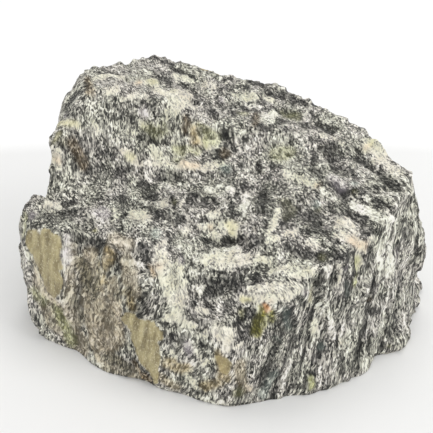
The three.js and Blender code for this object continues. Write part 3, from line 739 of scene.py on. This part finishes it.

# Stains, with a few strokes of painted shade in hollows and beside the plate: (red, green, blue) as the eye
# sees them, how strong each is, and its strokes
TAUPE = (150, 138, 114)
BROWN = (112, 90, 54)
UMBER = (98, 86, 58)
EARTH = (74, 69, 54)
DARK_OLIVE = (98, 97, 78)
OCHRE = (152, 134, 90)
OLIVE = (134, 134, 88)
MOSS = (84, 82, 34)
LILAC = (174, 165, 172)
PEACH = (228, 204, 174)
STRAW = (220, 214, 164)
TEAL = (142, 158, 150)
LIME = (186, 190, 116)
YELLOW = (172, 166, 72)
ORANGE = (216, 140, 52)
STAIN_EDGE = (-1.2, 1.6)  # where a stain sets in and where it is full, in mm inside its strokes
STAINS_AND_SHADE = [
    (TAUPE, 0.6, [[(40, 288, 12), (58, 318, 15), (80, 345, 13)], [(128, 262, 9), (134, 290, 10)]]),
    (TAUPE, 0.55, [[(70, 248, 7), (70, 290, 9), (74, 322, 9)], [(36, 262, 5), (34, 284, 7)]]),
    (TAUPE, 0.55, [[(112, 240, 7), (128, 246, 9)], [(108, 364, 10), (136, 372, 8)]]),
    (TAUPE, 0.75, [
        [(90, 256, 10), (92, 285, 15), (96, 320, 16), (104, 352, 13)], [(114, 285, 10), (116, 340, 12)],
    ]),
    # Dark earth brown, partly painted shade in the recess under the ledge
    (EARTH, 0.9, [[(80, 262, 7), (86, 273, 9), (86, 286, 7)], [(100, 264, 4), (98, 282, 5), (93, 298, 4)]]),
    (EARTH, 0.7, [
        [(76, 300, 4), (80, 318, 5)], [(118, 296, 5), (128, 288, 4)], [(106, 356, 6), (126, 366, 7)],
    ]),
    (UMBER, 0.9, [
        [(107, 248, 4), (112, 257, 7), (106, 268, 4)], [(130, 292, 4), (132, 302, 6), (134, 310, 3)],
    ]),
    (OLIVE, 0.8, [[(56, 308, 4), (64, 324, 8), (70, 338, 8)]]),
    (UMBER, 0.6, [[(220, 356, 5), (225, 366, 7)]]),
    (OLIVE, 0.5, [
        [(145, 126, 6), (164, 131, 7)], [(198, 128, 8), (214, 138, 8)], [(176, 150, 6), (196, 152, 6)],
    ]),
    # Brown; the second stroke is partly rust brown, partly a painted shadow beside the plate's raised left
    # edge
    (BROWN, 0.7, [
        [(152, 266, 3), (153, 274, 3)], [(134, 360, 2), (140, 369, 3), (145, 376, 4), (150, 381, 3)],
    ]),
    # Brown; the first stroke is partly painted shade in the scoop, under its upper rim
    (BROWN, 0.45, [
        [(186, 120, 4), (186, 130, 5)], [(86, 78, 4), (90, 90, 6)], [(72, 142, 6), (84, 164, 7)],
    ]),
    (BROWN, 0.35, [[(256, 114, 4), (256, 124, 4)], [(318, 186, 4)], [(225, 152, 6)], [(369, 300, 4)]]),
    (OCHRE, 0.7, [[(193, 128, 4), (196, 142, 6)], [(105, 274, 3), (104, 282, 4)]]),
    (OCHRE, 0.6, [
        [(168, 364, 8), (184, 368, 8)], [(218, 352, 5), (224, 376, 8)], [(204, 386, 7), (218, 382, 7)],
    ]),
    (OCHRE, 0.4, [[(240, 366, 8), (244, 388, 7)], [(160, 376, 5), (176, 386, 6)]]),
    (DARK_OLIVE, 0.7, [[(284, 200, 6), (290, 210, 8), (286, 218, 5)], [(318, 208, 5)]]),
    (OLIVE, 0.65, [[(206, 133, 5), (206, 144, 5)], [(195, 153, 4)], [(173, 158, 2), (182, 158, 3)]]),
    (OLIVE, 0.6, [
        [(66, 320, 5), (71, 342, 7)], [(23, 212, 3), (22, 236, 3)], [(32, 292, 6), (44, 302, 6)],
    ]),
    (OLIVE, 0.45, [
        [(150, 128, 7), (158, 134, 6)], [(276, 154, 8), (288, 152, 8)], [(239, 112, 3), (246, 113, 4)],
    ]),
    (OLIVE, 0.5, [
        [(284, 113, 5), (297, 115, 5)], [(174, 202, 4)], [(322, 255, 5)], [(238, 392, 7)], [(388, 346, 3)],
    ]),
    (MOSS, 0.95, [[(262, 312, 5), (260, 322, 8), (256, 334, 6)], [(270, 314, 4), (272, 321, 4)]]),
    (MOSS, 0.6, [[(241, 312, 4), (242, 318, 3)], [(355, 195, 4)]]),
    (STRAW, 0.6, [
        [(60, 124, 5), (76, 124, 4)], [(58, 134, 4), (54, 142, 3)], [(152, 82, 6)], [(130, 157, 5)],
    ]),
    (STRAW, 0.6, [
        [(232, 226, 7), (232, 234, 4)], [(372, 140, 4), (366, 150, 3)], [(312, 288, 3), (311, 300, 3)],
    ]),
    (LIME, 0.8, [[(312, 379, 3.5), (312, 388, 4)], [(360, 260, 2.5), (357, 272, 3), (355, 284, 3)]]),
    (YELLOW, 0.85, [[(259, 307, 2.5), (261, 311, 2)], [(243, 299, 3), (247, 299, 2)], [(94, 230, 2)]]),
    (ORANGE, 0.95, [[(264.5, 305, 2.5), (266, 309, 3)]]),
    (PEACH, 0.6, [
        [(352, 238, 5), (364, 246, 7)], [(138, 84, 4)], [(184, 165, 5), (196, 165, 5)], [(58, 160, 5)],
    ]),
    (PEACH, 0.5, [[(270, 302, 3)], [(210, 227, 4)], [(158, 266, 5)], [(367, 147, 4)], [(250, 388, 3)]]),
    (LILAC, 0.5, [
        [(66, 238, 5), (66, 262, 5)], [(187, 346, 6), (190, 352, 5)], [(32, 216, 6)], [(144, 113, 6)],
    ]),
    (LILAC, 0.45, [
        [(222, 101, 4)], [(332, 178, 6), (342, 188, 7)], [(326, 226, 4)], [(305, 292, 4)], [(180, 260, 5)],
    ]),
    (LILAC, 0.45, [
        [(396, 250, 3), (397, 264, 3)], [(346, 268, 5)], [(318, 330, 3)], [(102, 212, 8)], [(65, 116, 4)],
    ]),
    (TEAL, 0.45, [
        [(156, 234, 6)], [(226, 170, 6)], [(354, 185, 5)], [(316, 203, 5)], [(262, 397, 5), (274, 374, 6)],
    ]),
    (TEAL, 0.35, [
        [(286, 312, 6), (288, 326, 5)], [(322, 347, 6)], [(348, 284, 3), (347, 296, 3)], [(278, 338, 4)],
    ]),
]

MARKS = {"cream": CREAM, "white": WHITE, "silver": SILVER, "black": BLACK, "slate": SLATE, "slab": SLABS}


def eye_colour(red, green, blue):
    """A colour given as the eye sees it, 0 to 255, as the linear colour that a material takes."""
    shares = np.array([red, green, blue]) / 255
    return np.where(shares <= 0.04045, shares / 12.92, ((shares + 0.055) / 1.055) ** 2.4)


def smooth_step(low, high, values):
    """From 0 at low to 1 at high."""
    t = np.clip((values - low) / (high - low), 0, 1)
    return t * t * (3 - 2 * t)


# Lenses on the sides that the photograph doesn't show: how often each kind of mark is drawn, how
# thick lenses are across the layers in mm, and how much longer they are along and down them
HIDDEN_LENSES = 420
HIDDEN_SEED = 7
HIDDEN_SHARES = {"cream": 10, "white": 5, "silver": 8, "black": 14, "slate": 8, "slab": 0.6}
HIDDEN_THICKNESS = (1.2, 3.6)
HIDDEN_SLAB_SCALE = 2.0
HIDDEN_LENGTH = (1.4, 3)
HIDDEN_DROP = (2.5, 5)

# How far a surface is turned to the camera, as a cosine: where a hidden lens can have its middle,
# and from where to where lenses give way, by the margin in mm
UNSEEN_BELOW = -0.05
SEEN_SIDE_EDGE = (-0.3, 0.0)
SEEN_SIDE_MARGIN = 12


def hidden_lenses(points, normals):
    """Lenses of every kind of mark over the stone's unseen sides."""
    draw = random.Random(HIDDEN_SEED)
    names, shares = zip(*HIDDEN_SHARES.items())
    towards_camera = (normals * to_directions(CAMERA_PLACE - points)).sum(axis=1)
    unseen = np.flatnonzero((towards_camera < UNSEEN_BELOW) & (points[:, 2] > 1))
    kept_off = SEEN_SIDE_MARGIN * smooth_step(*SEEN_SIDE_EDGE, towards_camera)
    fields = {name: np.full(len(points), OUTSIDE_MARKS) for name in MARKS}
    for _ in range(HIDDEN_LENSES):
        name = draw.choices(names, shares)[0]
        centre = points[unseen[draw.randrange(len(unseen))]]
        across = draw.uniform(*HIDDEN_THICKNESS) * (HIDDEN_SLAB_SCALE if name == "slab" else 1)
        along = across * draw.uniform(*HIDDEN_LENGTH)
        down = across * draw.uniform(*HIDDEN_DROP)
        offset = (points - centre) @ FABRIC.T / np.array([across, along, down])
        inside = across * (1 - np.sqrt((offset * offset).sum(axis=1)))
        fields[name] = np.maximum(fields[name], inside - kept_off)
    return fields


def all_marks(points, normals, places, tree):
    """For each kind of mark, how many mm inside it each point lies."""
    fields = hidden_lenses(points, normals)
    for name, strokes in MARKS.items():
        fields[name] = np.maximum(fields[name], marked(places, tree, strokes))
    return fields


def painted_stains_and_shade(places, tree):
    """The colour of the stains and of the painted shade at each point, with how strong they are as its
    fourth value.
    """
    colours = np.zeros((len(places), 4))
    for colour, strength, strokes in STAINS_AND_SHADE:
        share = smooth_step(*STAIN_EDGE, marked(places, tree, strokes))
        colours[:, :3] += (eye_colour(*colour) - colours[:, :3]) * share[:, None]
        colours[:, 3] = np.maximum(colours[:, 3], strength * share)
    return colours


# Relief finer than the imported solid's, in mm. Chips: their spacing along the fabric's three axes,
# their height, how sudden their edges are, and a seed
CHIPS = [
    ((10, 18, 46), 2.1, 60, 61),
    ((4.4, 9, 26), 1.6, 45, 62),
    ((2.3, 4.4, 12), 0.8, 30, 63),
]
CHIP_TILT = 1.6
CHIP_STEP = 0.5
GRAIN_SPACING = 2.3
GRAIN_HEIGHT = 0.2
GRAIN_SEED = 41
MARK_HEIGHTS = {"cream": 0.3, "white": 0.3, "silver": 0.2, "black": -0.45, "slate": -0.2, "slab": 0.3}
SLAB_SMOOTHNESS = 0.85
FOOT_HEIGHT = 5.0
FOOT_FREE_HEIGHT = 2.5
FOOT_UNDERCUT = 1.2
FOOT_SPACING = 24
FOOT_SEED = 51

# Dark and pale layers: their spacings and weights, and how high and how much paler pale ones are
BANDS = [
    ((3.6, 12, 42), 0.5),
    ((1.7, 6, 20), 0.3),
]
BAND_SEED = 31
BAND_HEIGHT = 0.3
# Painted light: the crest is painted paler between these two heights in mm, for the light that falls on its
# top
CREST_PAINTED_LIGHT = 0.6
CREST_PAINTED_LIGHT_HEIGHTS = (70, 95)


def chipped(points, spacing, edge, seed):
    """Small tilted facets, one to a spacing, with steps between them: from about -0.5 to 0.5."""
    q = points / np.array(spacing, float)
    cell = np.floor(q)
    total = np.zeros(len(points))
    weights = np.zeros(len(points))
    for shift in np.ndindex(3, 3, 3):
        i, j, k = (cell + np.array(shift) - 1).T
        draws = [chance(i, j, k, seed + 3.7 * n) for n in range(7)]
        middle = np.stack([i, j, k], axis=1) + np.stack(draws[:3], axis=1)
        tilt = np.stack(draws[3:6], axis=1) - 0.5
        offset = q - middle
        weight = np.exp(-edge * (offset * offset).sum(axis=1)) + 1e-300  # the weights never add up to 0
        total += weight * ((offset * tilt).sum(axis=1) * CHIP_TILT + (draws[6] - 0.5) * CHIP_STEP)
        weights += weight
    return total / weights


def band_field(fabric):
    """From -1 in dark layers to 1 in pale ones."""
    out = 0
    for n, (spacing, weight) in enumerate(BANDS):
        out = out + weight * noise(fabric, spacing, 1, BAND_SEED + n)
    return out / sum(weight for _, weight in BANDS)


def refine(points, triangles, fields):
    """Moves the net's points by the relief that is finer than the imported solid's."""
    normals = vertex_normals(points, triangles)
    fabric = wandered(points) @ FABRIC.T
    smoothness = smooth_step(-0.5, 1.5, fields["slab"])
    height = layer_height(fabric, FINE_LAYERS)
    for spacing, rise, edge, seed in CHIPS:
        height += rise * chipped(fabric, spacing, edge, seed)
    height += BAND_HEIGHT * band_field(fabric)
    height += GRAIN_HEIGHT * noise(points, GRAIN_SPACING, 1, GRAIN_SEED)
    height *= 1 - SLAB_SMOOTHNESS * smoothness
    for name, rise in MARK_HEIGHTS.items():
        height += rise * smooth_step(-0.5, 1.0, fields[name])
    free = smooth_step(0, FOOT_FREE_HEIGHT, points[:, 2])
    moved = points + normals * (height * free)[:, None]
    low = np.clip(1 - points[:, 2] / FOOT_HEIGHT, 0, 1) ** 2
    uneven = smooth_step(-0.4, 0.6, noise(points * [1, 1, 0], FOOT_SPACING, 1, FOOT_SEED))
    sideways = to_directions(normals * [1, 1, 0] + [1e-9, 0, 0])
    moved -= sideways * (FOOT_UNDERCUT * low * uneven)[:, None]
    moved[:, 2] = np.maximum(moved[:, 2], 0)
    return moved


def make_object(name, points, faces):
    mesh = bpy.data.meshes.new(name)
    mesh.from_pydata((points * MM).tolist(), [], faces)
    mesh.validate()
    piece = bpy.data.objects.new(name, mesh)
    bpy.context.scene.collection.objects.link(piece)
    return piece


def set_attribute(mesh, name, kind, field, values):
    attribute = mesh.attributes.new(name, kind, "POINT")
    attribute.data.foreach_set(field, np.asarray(values, np.float32).ravel())


def boundary_loops(triangles):
    """The corners along each open edge of a net, in order."""
    edges = {(a, b) for a, b in edges_round(triangles).tolist()}
    onward = {b: a for a, b in edges if (b, a) not in edges}
    loops = []
    while onward:
        start, corner = onward.popitem()
        loop = [start, corner]
        while corner in onward:
            corner = onward.pop(corner)
            if corner != start:
                loop.append(corner)
        loops.append(loop)
    return loops


def drop_underside(points, triangles):
    """Which points the net keeps without its triangles on the table, and the triangles it keeps."""
    low = points[:, 2] < TABLE_GAP
    kept = triangles[~low[triangles].all(axis=1)]
    used = np.unique(kept)
    renumbered = np.full(len(points), -1)
    renumbered[used] = np.arange(len(used))
    return used, renumbered[kept]


def make_stone():
    """The stone: its net with all its relief, one flat underside, and what its material reads."""
    points, triangles = stone_net()
    used, triangles = drop_underside(points, triangles)
    points = points[used] + MIDDLE_SHIFT
    points[points[:, 2] < TABLE_GAP, 2] = 0
    tree = BVHTree.FromPolygons(points.tolist(), triangles.tolist())
    places = seen_places(points)
    fields = all_marks(points, vertex_normals(points, triangles), places, tree)
    stains_and_shade = painted_stains_and_shade(places, tree)
    form_points = points - MIDDLE_SHIFT
    fabric = wandered(form_points) @ FABRIC.T
    # The layers' lightness, with painted light that makes the crest paler towards its top
    bands_and_crest_light = band_field(fabric) + CREST_PAINTED_LIGHT * smooth_step(*CREST_PAINTED_LIGHT_HEIGHTS, form_points[:, 2])
    points = refine(form_points, triangles, fields) + MIDDLE_SHIFT
    underside = max(boundary_loops(triangles), key=len)
    piece = make_object("gneiss_stone", points, triangles.tolist() + [underside])
    mesh = piece.data
    mesh.shade_smooth()
    set_attribute(mesh, "fabric", "FLOAT_VECTOR", "vector", fabric)
    set_attribute(mesh, "bands_and_crest_light", "FLOAT", "value", bands_and_crest_light)
    for name, field in fields.items():
        set_attribute(mesh, name, "FLOAT", "value", field)
    set_attribute(mesh, "stain_and_shade", "FLOAT_COLOR", "color", stains_and_shade)
    return piece


class Graph:
    """Short ways to add and join the nodes of a material."""

    def __init__(self, name):
        self.material = bpy.data.materials.new(name)
        self.material.use_nodes = True
        self.tree = self.material.node_tree
        self.tree.nodes.clear()

    def node(self, kind, inputs=None, **settings):
        node = self.tree.nodes.new(kind)
        for name, value in settings.items():
            setattr(node, name, value)
        for key, value in (inputs or {}).items():
            self.put(node.inputs[key], value)
        return node

    def put(self, socket, value):
        if isinstance(value, bpy.types.NodeSocket):
            self.tree.links.new(value, socket)
        else:
            socket.default_value = value

    def attribute(self, name, output="Fac"):
        return self.node("ShaderNodeAttribute", attribute_name=name).outputs[output]

    def math(self, operation, a, b=0.0):
        return self.node("ShaderNodeMath", {0: a, 1: b}, operation=operation).outputs[0]

    def add(self, a, b):
        return self.math("ADD", a, b)

    def times(self, a, b):
        return self.math("MULTIPLY", a, b)

    def blend(self, share, a, b):
        """From the number a to the number b as the share goes from 0 to 1."""
        node = self.node("ShaderNodeMix", data_type="FLOAT")
        for index, value in ((0, share), (2, a), (3, b)):
            self.put(node.inputs[index], value)
        return node.outputs[0]

    def vector(self, operation, a, b):
        return self.node("ShaderNodeVectorMath", {0: a, 1: b}, operation=operation).outputs[0]

    def span(self, value, low, high, to_low=0.0, to_high=1.0, smooth=False):
        """The value's place between low and high, kept within to_low and to_high."""
        ends = {"Value": value, "From Min": low, "From Max": high, "To Min": to_low, "To Max": to_high}
        style = "SMOOTHSTEP" if smooth else "LINEAR"
        return self.node("ShaderNodeMapRange", ends, interpolation_type=style).outputs[0]

    def mix(self, share, a, b, blend="MIX"):
        node = self.node("ShaderNodeMix", data_type="RGBA", blend_type=blend)
        for index, value in ((0, share), (6, a), (7, b)):
            self.put(node.inputs[index], value)
        return node.outputs[2]

    def noise(self, place, spacing, detail=2.0, output="Fac"):
        inputs = {"Vector": place, "Scale": 1 / spacing, "Detail": detail}
        return self.node("ShaderNodeTexNoise", inputs).outputs[output]

    def cells(self, place, spacing):
        """Random red, green and blue for each cell about one spacing wide."""
        node = self.node("ShaderNodeTexVoronoi", {"Vector": place, "Scale": 1 / spacing})
        split = self.node("ShaderNodeSeparateColor", {0: node.outputs["Color"]})
        return split.outputs[0], split.outputs[1], split.outputs[2], node.outputs["Distance"]


def rgb(red, green, blue):
    return (*eye_colour(red, green, blue), 1.0)


# The stone's texture: how big its parts are across, along and down the layers, in mm or stretched
# from a size in mm, and how much lighter and darker they make the stone
WAVE_SPACING = 10
WAVE_REACH = (2.4, 4.0, 6.0)
LENS_SPACING = (2.8, 7, 24)
LENS_LIGHT = 0.4
STREAK_SPACING = (1.1, 3.0, 9)
STREAK_LIGHT = 0.5
THREAD_SPACING = (0.45, 2.2, 4.2)
THREAD_LIGHT = 0.85
STRIPE_SPACING = (1.3, 8, 80)
STRIPE_PLACES = (48, 64)  # how far along the layers the stripes of the right wall set in
STRIPE_LIGHTS = (0.08, 0.36)
CLOT_STRETCH = (1, 1.4, 2.2)
CLOT_SIZE = 1.3
CLOT_LIGHT = 0.12
GRAIN_STRETCH = (1, 1.9, 3.6)
GRAIN_SIZE = 0.42
GRAIN_LIGHT = 0.74
FLAKE_STRETCH = (1, 1.6, 3)
FLAKE_SIZE = 0.55
FILM_SPACINGS = [(1.9, 5.5, 24), (3.4, 9, 44)]
FILM_WIDTH = 0.022
FILM_LIGHT = -0.2
RIM_LIGHT = -0.22
RAGGED_SPACING = (1.5, 2.2, 3.3)
RAGGED_REACH = 5
BUMP_DEPTH = 0.35  # in mm
SHINE = 0.35

# How light plain stone is, and how light each kind of mark is with how much its grains differ
PLAIN_LIGHT = 0.575
BAND_LIGHT = 0.07
STAIN_CONTRAST = 0.75
MARK_LIGHTS = {
    "silver": (0.72, 0.9),
    "slate": (0.37, 0.85),
    "black": (0.21, 0.8),
    "cream": (0.85, 0.6),
    "white": (0.97, 0.5),
}

# Colours: from biotite to feldspar by how light the stone is, and pairs that blend into each other
MINERALS = [
    (0.05, (30, 30, 29)),
    (0.3, (84, 83, 79)),
    (0.5, (140, 138, 132)),
    (0.7, (190, 187, 177)),
    (0.88, (228, 225, 212)),
    (1.0, (246, 244, 238)),
]
FLAKES = (34, 34, 33), (84, 82, 76)
FELDSPAR = (216, 208, 180), (246, 243, 226)
MICA = (128, 116, 82), (188, 176, 134)
MICA_FLECKS = (222, 212, 178)
LILAC_TINT = (1.01, 0.992, 1.0, 1)
GREEN_TINT = (0.985, 1.0, 0.95, 1)


class Gneiss(Graph):
    """The stone's material, with places along its slightly wavy layers."""

    def __init__(self):
        super().__init__("gneiss")
        self.fabric = self.attribute("fabric", "Vector")
        wave = self.noise(self.fabric, WAVE_SPACING, 2, "Color")
        wave = self.vector("SUBTRACT", wave, (0.5, 0.5, 0.5))
        self.layered = self.vector("ADD", self.fabric, self.vector("MULTIPLY", wave, WAVE_REACH))

    def stretched(self, spacing):
        """Places in which something of this size along the fabric's three axes is 1 wide."""
        return self.vector("MULTIPLY", self.layered, tuple(1 / side for side in spacing))

    def layer_noise(self, spacing, detail):
        """Noise along the layers, from about -0.5 to 0.5."""
        return self.add(self.noise(self.stretched(spacing), 1, detail), -0.5)


def grain_texture(g, streak, grain):
    """How much lighter or darker streaks, stripes, threads, clots and grains make the stone."""
    along = g.node("ShaderNodeSeparateXYZ", {0: g.fabric}).outputs[1]
    stripe = g.span(g.noise(g.stretched(STRIPE_SPACING), 1, 2), 0.36, 0.64, -0.5, 0.5, smooth=True)
    striped = g.span(along, *STRIPE_PLACES, *STRIPE_LIGHTS)
    clot, _, _, _ = g.cells(g.stretched(CLOT_STRETCH), CLOT_SIZE)
    texture = g.add(g.times(streak, STREAK_LIGHT), g.times(stripe, striped))
    texture = g.add(texture, g.times(g.layer_noise(THREAD_SPACING, 3), THREAD_LIGHT))
    texture = g.add(texture, g.times(g.add(clot, -0.5), CLOT_LIGHT))
    return g.add(texture, g.times(g.add(grain, -0.5), GRAIN_LIGHT))


def marked_light(g, ragged, stained):
    """How light the stone is before its texture, how strong that is, and where feldspar is cream."""
    # The layers' lightness, with the crest's painted light
    bands_and_crest_light = g.add(g.times(g.attribute("bands_and_crest_light"), BAND_LIGHT), PLAIN_LIGHT)
    light = g.add(g.times(g.layer_noise(LENS_SPACING, 2), LENS_LIGHT), bands_and_crest_light)
    contrast = g.span(stained, 0, 1, 1.0, STAIN_CONTRAST)
    shares = {}
    for name, (mark_light, mark_contrast) in MARK_LIGHTS.items():
        shares[name] = g.span(g.add(g.attribute(name), ragged), -1.1, 0.9, 0.0, 0.95, smooth=True)
        light = g.blend(shares[name], light, mark_light)
        contrast = g.blend(shares[name], contrast, mark_contrast)
    return light, contrast, shares["cream"]


def with_films(g, light, contrast, ragged, streak):
    """The lightness with thin dark films of biotite along the layers and round the pale marks."""
    for spacing in FILM_SPACINGS:
        film = g.math("ABSOLUTE", g.layer_noise(spacing, 2))
        light = g.add(light, g.times(g.span(film, 0.0, FILM_WIDTH, FILM_LIGHT, 0.0), contrast))
    for name in ("cream", "white"):
        beside = g.add(g.attribute(name), ragged)
        rim = g.times(g.span(beside, -1.5, -0.7), g.span(beside, -0.6, 0.1, 1.0, 0.0))
        light = g.add(light, g.times(g.times(rim, g.span(streak, -0.1, 0.1)), RIM_LIGHT))
    return light


def mineral_colour(g, light):
    """From dark biotite to pale feldspar as the lightness goes from 0 to 1."""
    ramp = g.node("ShaderNodeValToRGB", {0: light})
    while len(ramp.color_ramp.elements) < len(MINERALS):
        ramp.color_ramp.elements.new(0.5)
    for element, (place, colour) in zip(ramp.color_ramp.elements, MINERALS):
        element.position = place
        element.color = rgb(*colour)
    return ramp.outputs[0]


def blended(g, share, pair):
    """From the first of two colours to the second."""
    return g.mix(share, rgb(*pair[0]), rgb(*pair[1]))


def with_flakes(g, colour, light):
    """The colour with loose dark flakes, few of them in the feldspar, and where they lie."""
    flake, shade, _, _ = g.cells(g.stretched(FLAKE_STRETCH), FLAKE_SIZE)
    flakes = g.span(g.math("SUBTRACT", g.span(light, 0.2, 1.0, 0.2, 0.03), flake), -0.02, 0.04)
    return g.mix(g.times(flakes, 0.75), colour, blended(g, shade, FLAKES)), flakes


def with_feldspar(g, colour, light, cream):
    """The colour with cream feldspar, and broad tints from lilac to green over all of it."""
    feldspar = blended(g, g.span(g.noise(g.fabric, 4, 3), 0.35, 0.65), FELDSPAR)
    colour = g.mix(g.times(cream, g.span(light, 0.6, 0.95, 0.0, 0.7)), colour, feldspar)
    tint = g.mix(g.span(g.noise(g.fabric, 13, 3), 0.4, 0.6), LILAC_TINT, GREEN_TINT)
    return g.mix(1.0, colour, tint, "MULTIPLY")


def with_mica(g, colour, slab):
    """The colour with its smooth slabs of altered mica."""
    mica = blended(g, g.span(g.noise(g.stretched((3, 3, 9)), 1, 4), 0.35, 0.65), MICA)
    flecks = g.span(g.noise(g.fabric, 0.9, 3), 0.56, 0.66)
    mica = g.mix(g.times(flecks, 0.6), mica, rgb(*MICA_FLECKS))
    return g.mix(g.times(slab, 0.93), colour, mica)


def with_stains_and_shade(g, colour, stain_and_shade):
    """The colour with its stains and painted shade, which tint the grains and leave them in sight."""
    brightness = g.node("ShaderNodeRGBToBW", {0: colour}).outputs[0]
    stain_brightness = g.node("ShaderNodeRGBToBW", {0: stain_and_shade.outputs["Color"]}).outputs[0]
    against_stain = g.math("DIVIDE", brightness, g.math("MAXIMUM", stain_brightness, 0.02))
    strength = g.add(g.times(against_stain, 0.45), 0.55)
    grey = g.node("ShaderNodeCombineColor", {0: strength, 1: strength, 2: strength}).outputs[0]
    stained = g.mix(1.0, stain_and_shade.outputs["Color"], grey, "MULTIPLY")
    patchy = g.span(g.noise(g.fabric, 2.4, 4), 0.35, 0.6, 0.6, 1.0)
    return g.mix(g.times(stain_and_shade.outputs["Alpha"], patchy), colour, stained)


def gneiss_material():
    g = Gneiss()
    stain_and_shade = g.node("ShaderNodeAttribute", attribute_name="stain_and_shade")
    ragged = g.times(g.layer_noise(RAGGED_SPACING, 4), RAGGED_REACH)
    streak = g.layer_noise(STREAK_SPACING, 3)
    grain, _, gloss, grain_edge = g.cells(g.stretched(GRAIN_STRETCH), GRAIN_SIZE)
    slab = g.span(g.add(g.attribute("slab"), g.times(ragged, 0.45)), -0.6, 0.6, smooth=True)

    light, contrast, cream = marked_light(g, ragged, stain_and_shade.outputs["Alpha"])
    light = g.add(light, g.times(grain_texture(g, streak, grain), contrast))
    light = with_films(g, light, contrast, ragged, streak)
    colour, flakes = with_flakes(g, mineral_colour(g, light), light)
    colour = with_feldspar(g, colour, light, cream)
    colour = with_mica(g, colour, slab)
    colour = with_stains_and_shade(g, colour, stain_and_shade)

    height = g.add(g.times(grain_edge, -0.5), g.times(flakes, -0.3))
    height = g.add(height, g.times(g.noise(g.fabric, 0.8, 4), 1.6))
    height = g.add(height, g.times(light, 0.9))
    bump = g.node("ShaderNodeBump", {"Height": height, "Distance": BUMP_DEPTH * MM, "Strength": 0.9})
    roughness = g.span(g.add(gloss, g.times(slab, -0.6)), 0, 1, 0.45, 0.85)
    inputs = {"Base Color": colour, "Roughness": roughness, "Specular IOR Level": SHINE}
    surface = g.node("ShaderNodeBsdfPrincipled", {**inputs, "Normal": bump.outputs[0]})
    g.node("ShaderNodeOutputMaterial", {"Surface": surface.outputs[0]})
    return g.material


# The table, in metres: grey-white round the stone and glowing white further out, where the grey
# reaches three times as far to the sides as to the front and back
TABLE_SIDE = 6.0
TABLE_NEAR = 0.148
TABLE_FAR = 0.181
TABLE_STRETCH = 3
TABLE_GREY = (232, 232, 231)
TABLE_GLOW = 0.9

# Square soft lights: their place and side in metres, and their power in watts
LIGHTS = {
    "soft_light_behind": ((0.15, 0.38, 1.3), 0.6, 3.4),
    "soft_light_right": ((1.0, -0.4, 0.9), 0.7, 4.2),
    "soft_light_front": ((-0.2, -1.2, 0.45), 0.9, 2.4),
}
LIGHTS_AIM = (0, 0, 0.05)
SKY_STRENGTH = 0.86


def make_table():
    half = TABLE_SIDE / 2
    corners = np.array([(-half, -half, 0), (half, -half, 0), (half, half, 0), (-half, half, 0)]) / MM
    table = make_object("table", corners, [(0, 1, 2, 3)])
    g = Graph("table_white")
    place = g.node("ShaderNodeNewGeometry").outputs["Position"]
    squeezed = g.vector("MULTIPLY", place, (1 / TABLE_STRETCH, 1, 1))
    distance = g.node("ShaderNodeVectorMath", {0: squeezed}, operation="LENGTH").outputs["Value"]
    far = g.span(distance, TABLE_NEAR, TABLE_FAR, smooth=True)
    colour = blended(g, far, (TABLE_GREY, (255, 255, 255)))
    surface = g.node("ShaderNodeBsdfPrincipled", {"Base Color": colour, "Roughness": 0.9})
    glow = g.node("ShaderNodeEmission", {"Color": (1, 1, 1, 1), "Strength": 1.0})
    share = g.times(far, TABLE_GLOW)
    both = g.node("ShaderNodeMixShader", {0: share, 1: surface.outputs[0], 2: glow.outputs[0]})
    g.node("ShaderNodeOutputMaterial", {"Surface": both.outputs[0]})
    table.data.materials.append(g.material)


def make_light(name, place, side, power):
    lamp = bpy.data.lights.new(name, "AREA")
    lamp.size = side
    lamp.energy = power
    light = bpy.data.objects.new(name, lamp)
    light.location = place
    light.rotation_euler = (Vector(LIGHTS_AIM) - Vector(place)).to_track_quat("-Z", "Y").to_euler()
    bpy.context.scene.collection.objects.link(light)


def make_lights():
    world = bpy.data.worlds.new("studio")
    world.use_nodes = True
    background = world.node_tree.nodes["Background"]
    background.inputs["Color"].default_value = (1, 1, 1, 1)
    background.inputs["Strength"].default_value = SKY_STRENGTH
    bpy.context.scene.world = world
    for name, (place, side, power) in LIGHTS.items():
        make_light(name, place, side, power)


def make_camera():
    data = bpy.data.cameras.new("camera")
    data.sensor_width = 36
    data.angle = CAMERA_FIELD
    data.clip_start = 0.01
    camera = bpy.data.objects.new("camera", data)
    camera.location = CAMERA_PLACE * MM
    camera.rotation_euler = Vector(BACK).to_track_quat("Z", "Y").to_euler()
    bpy.context.scene.collection.objects.link(camera)
    bpy.context.scene.camera = camera


stone_piece = make_stone()
stone_piece.data.materials.append(gneiss_material())
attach(stone_piece, "root")
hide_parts(NODE)
make_table()
make_lights()
make_camera()
bpy.context.scene.view_settings.view_transform = "Standard"
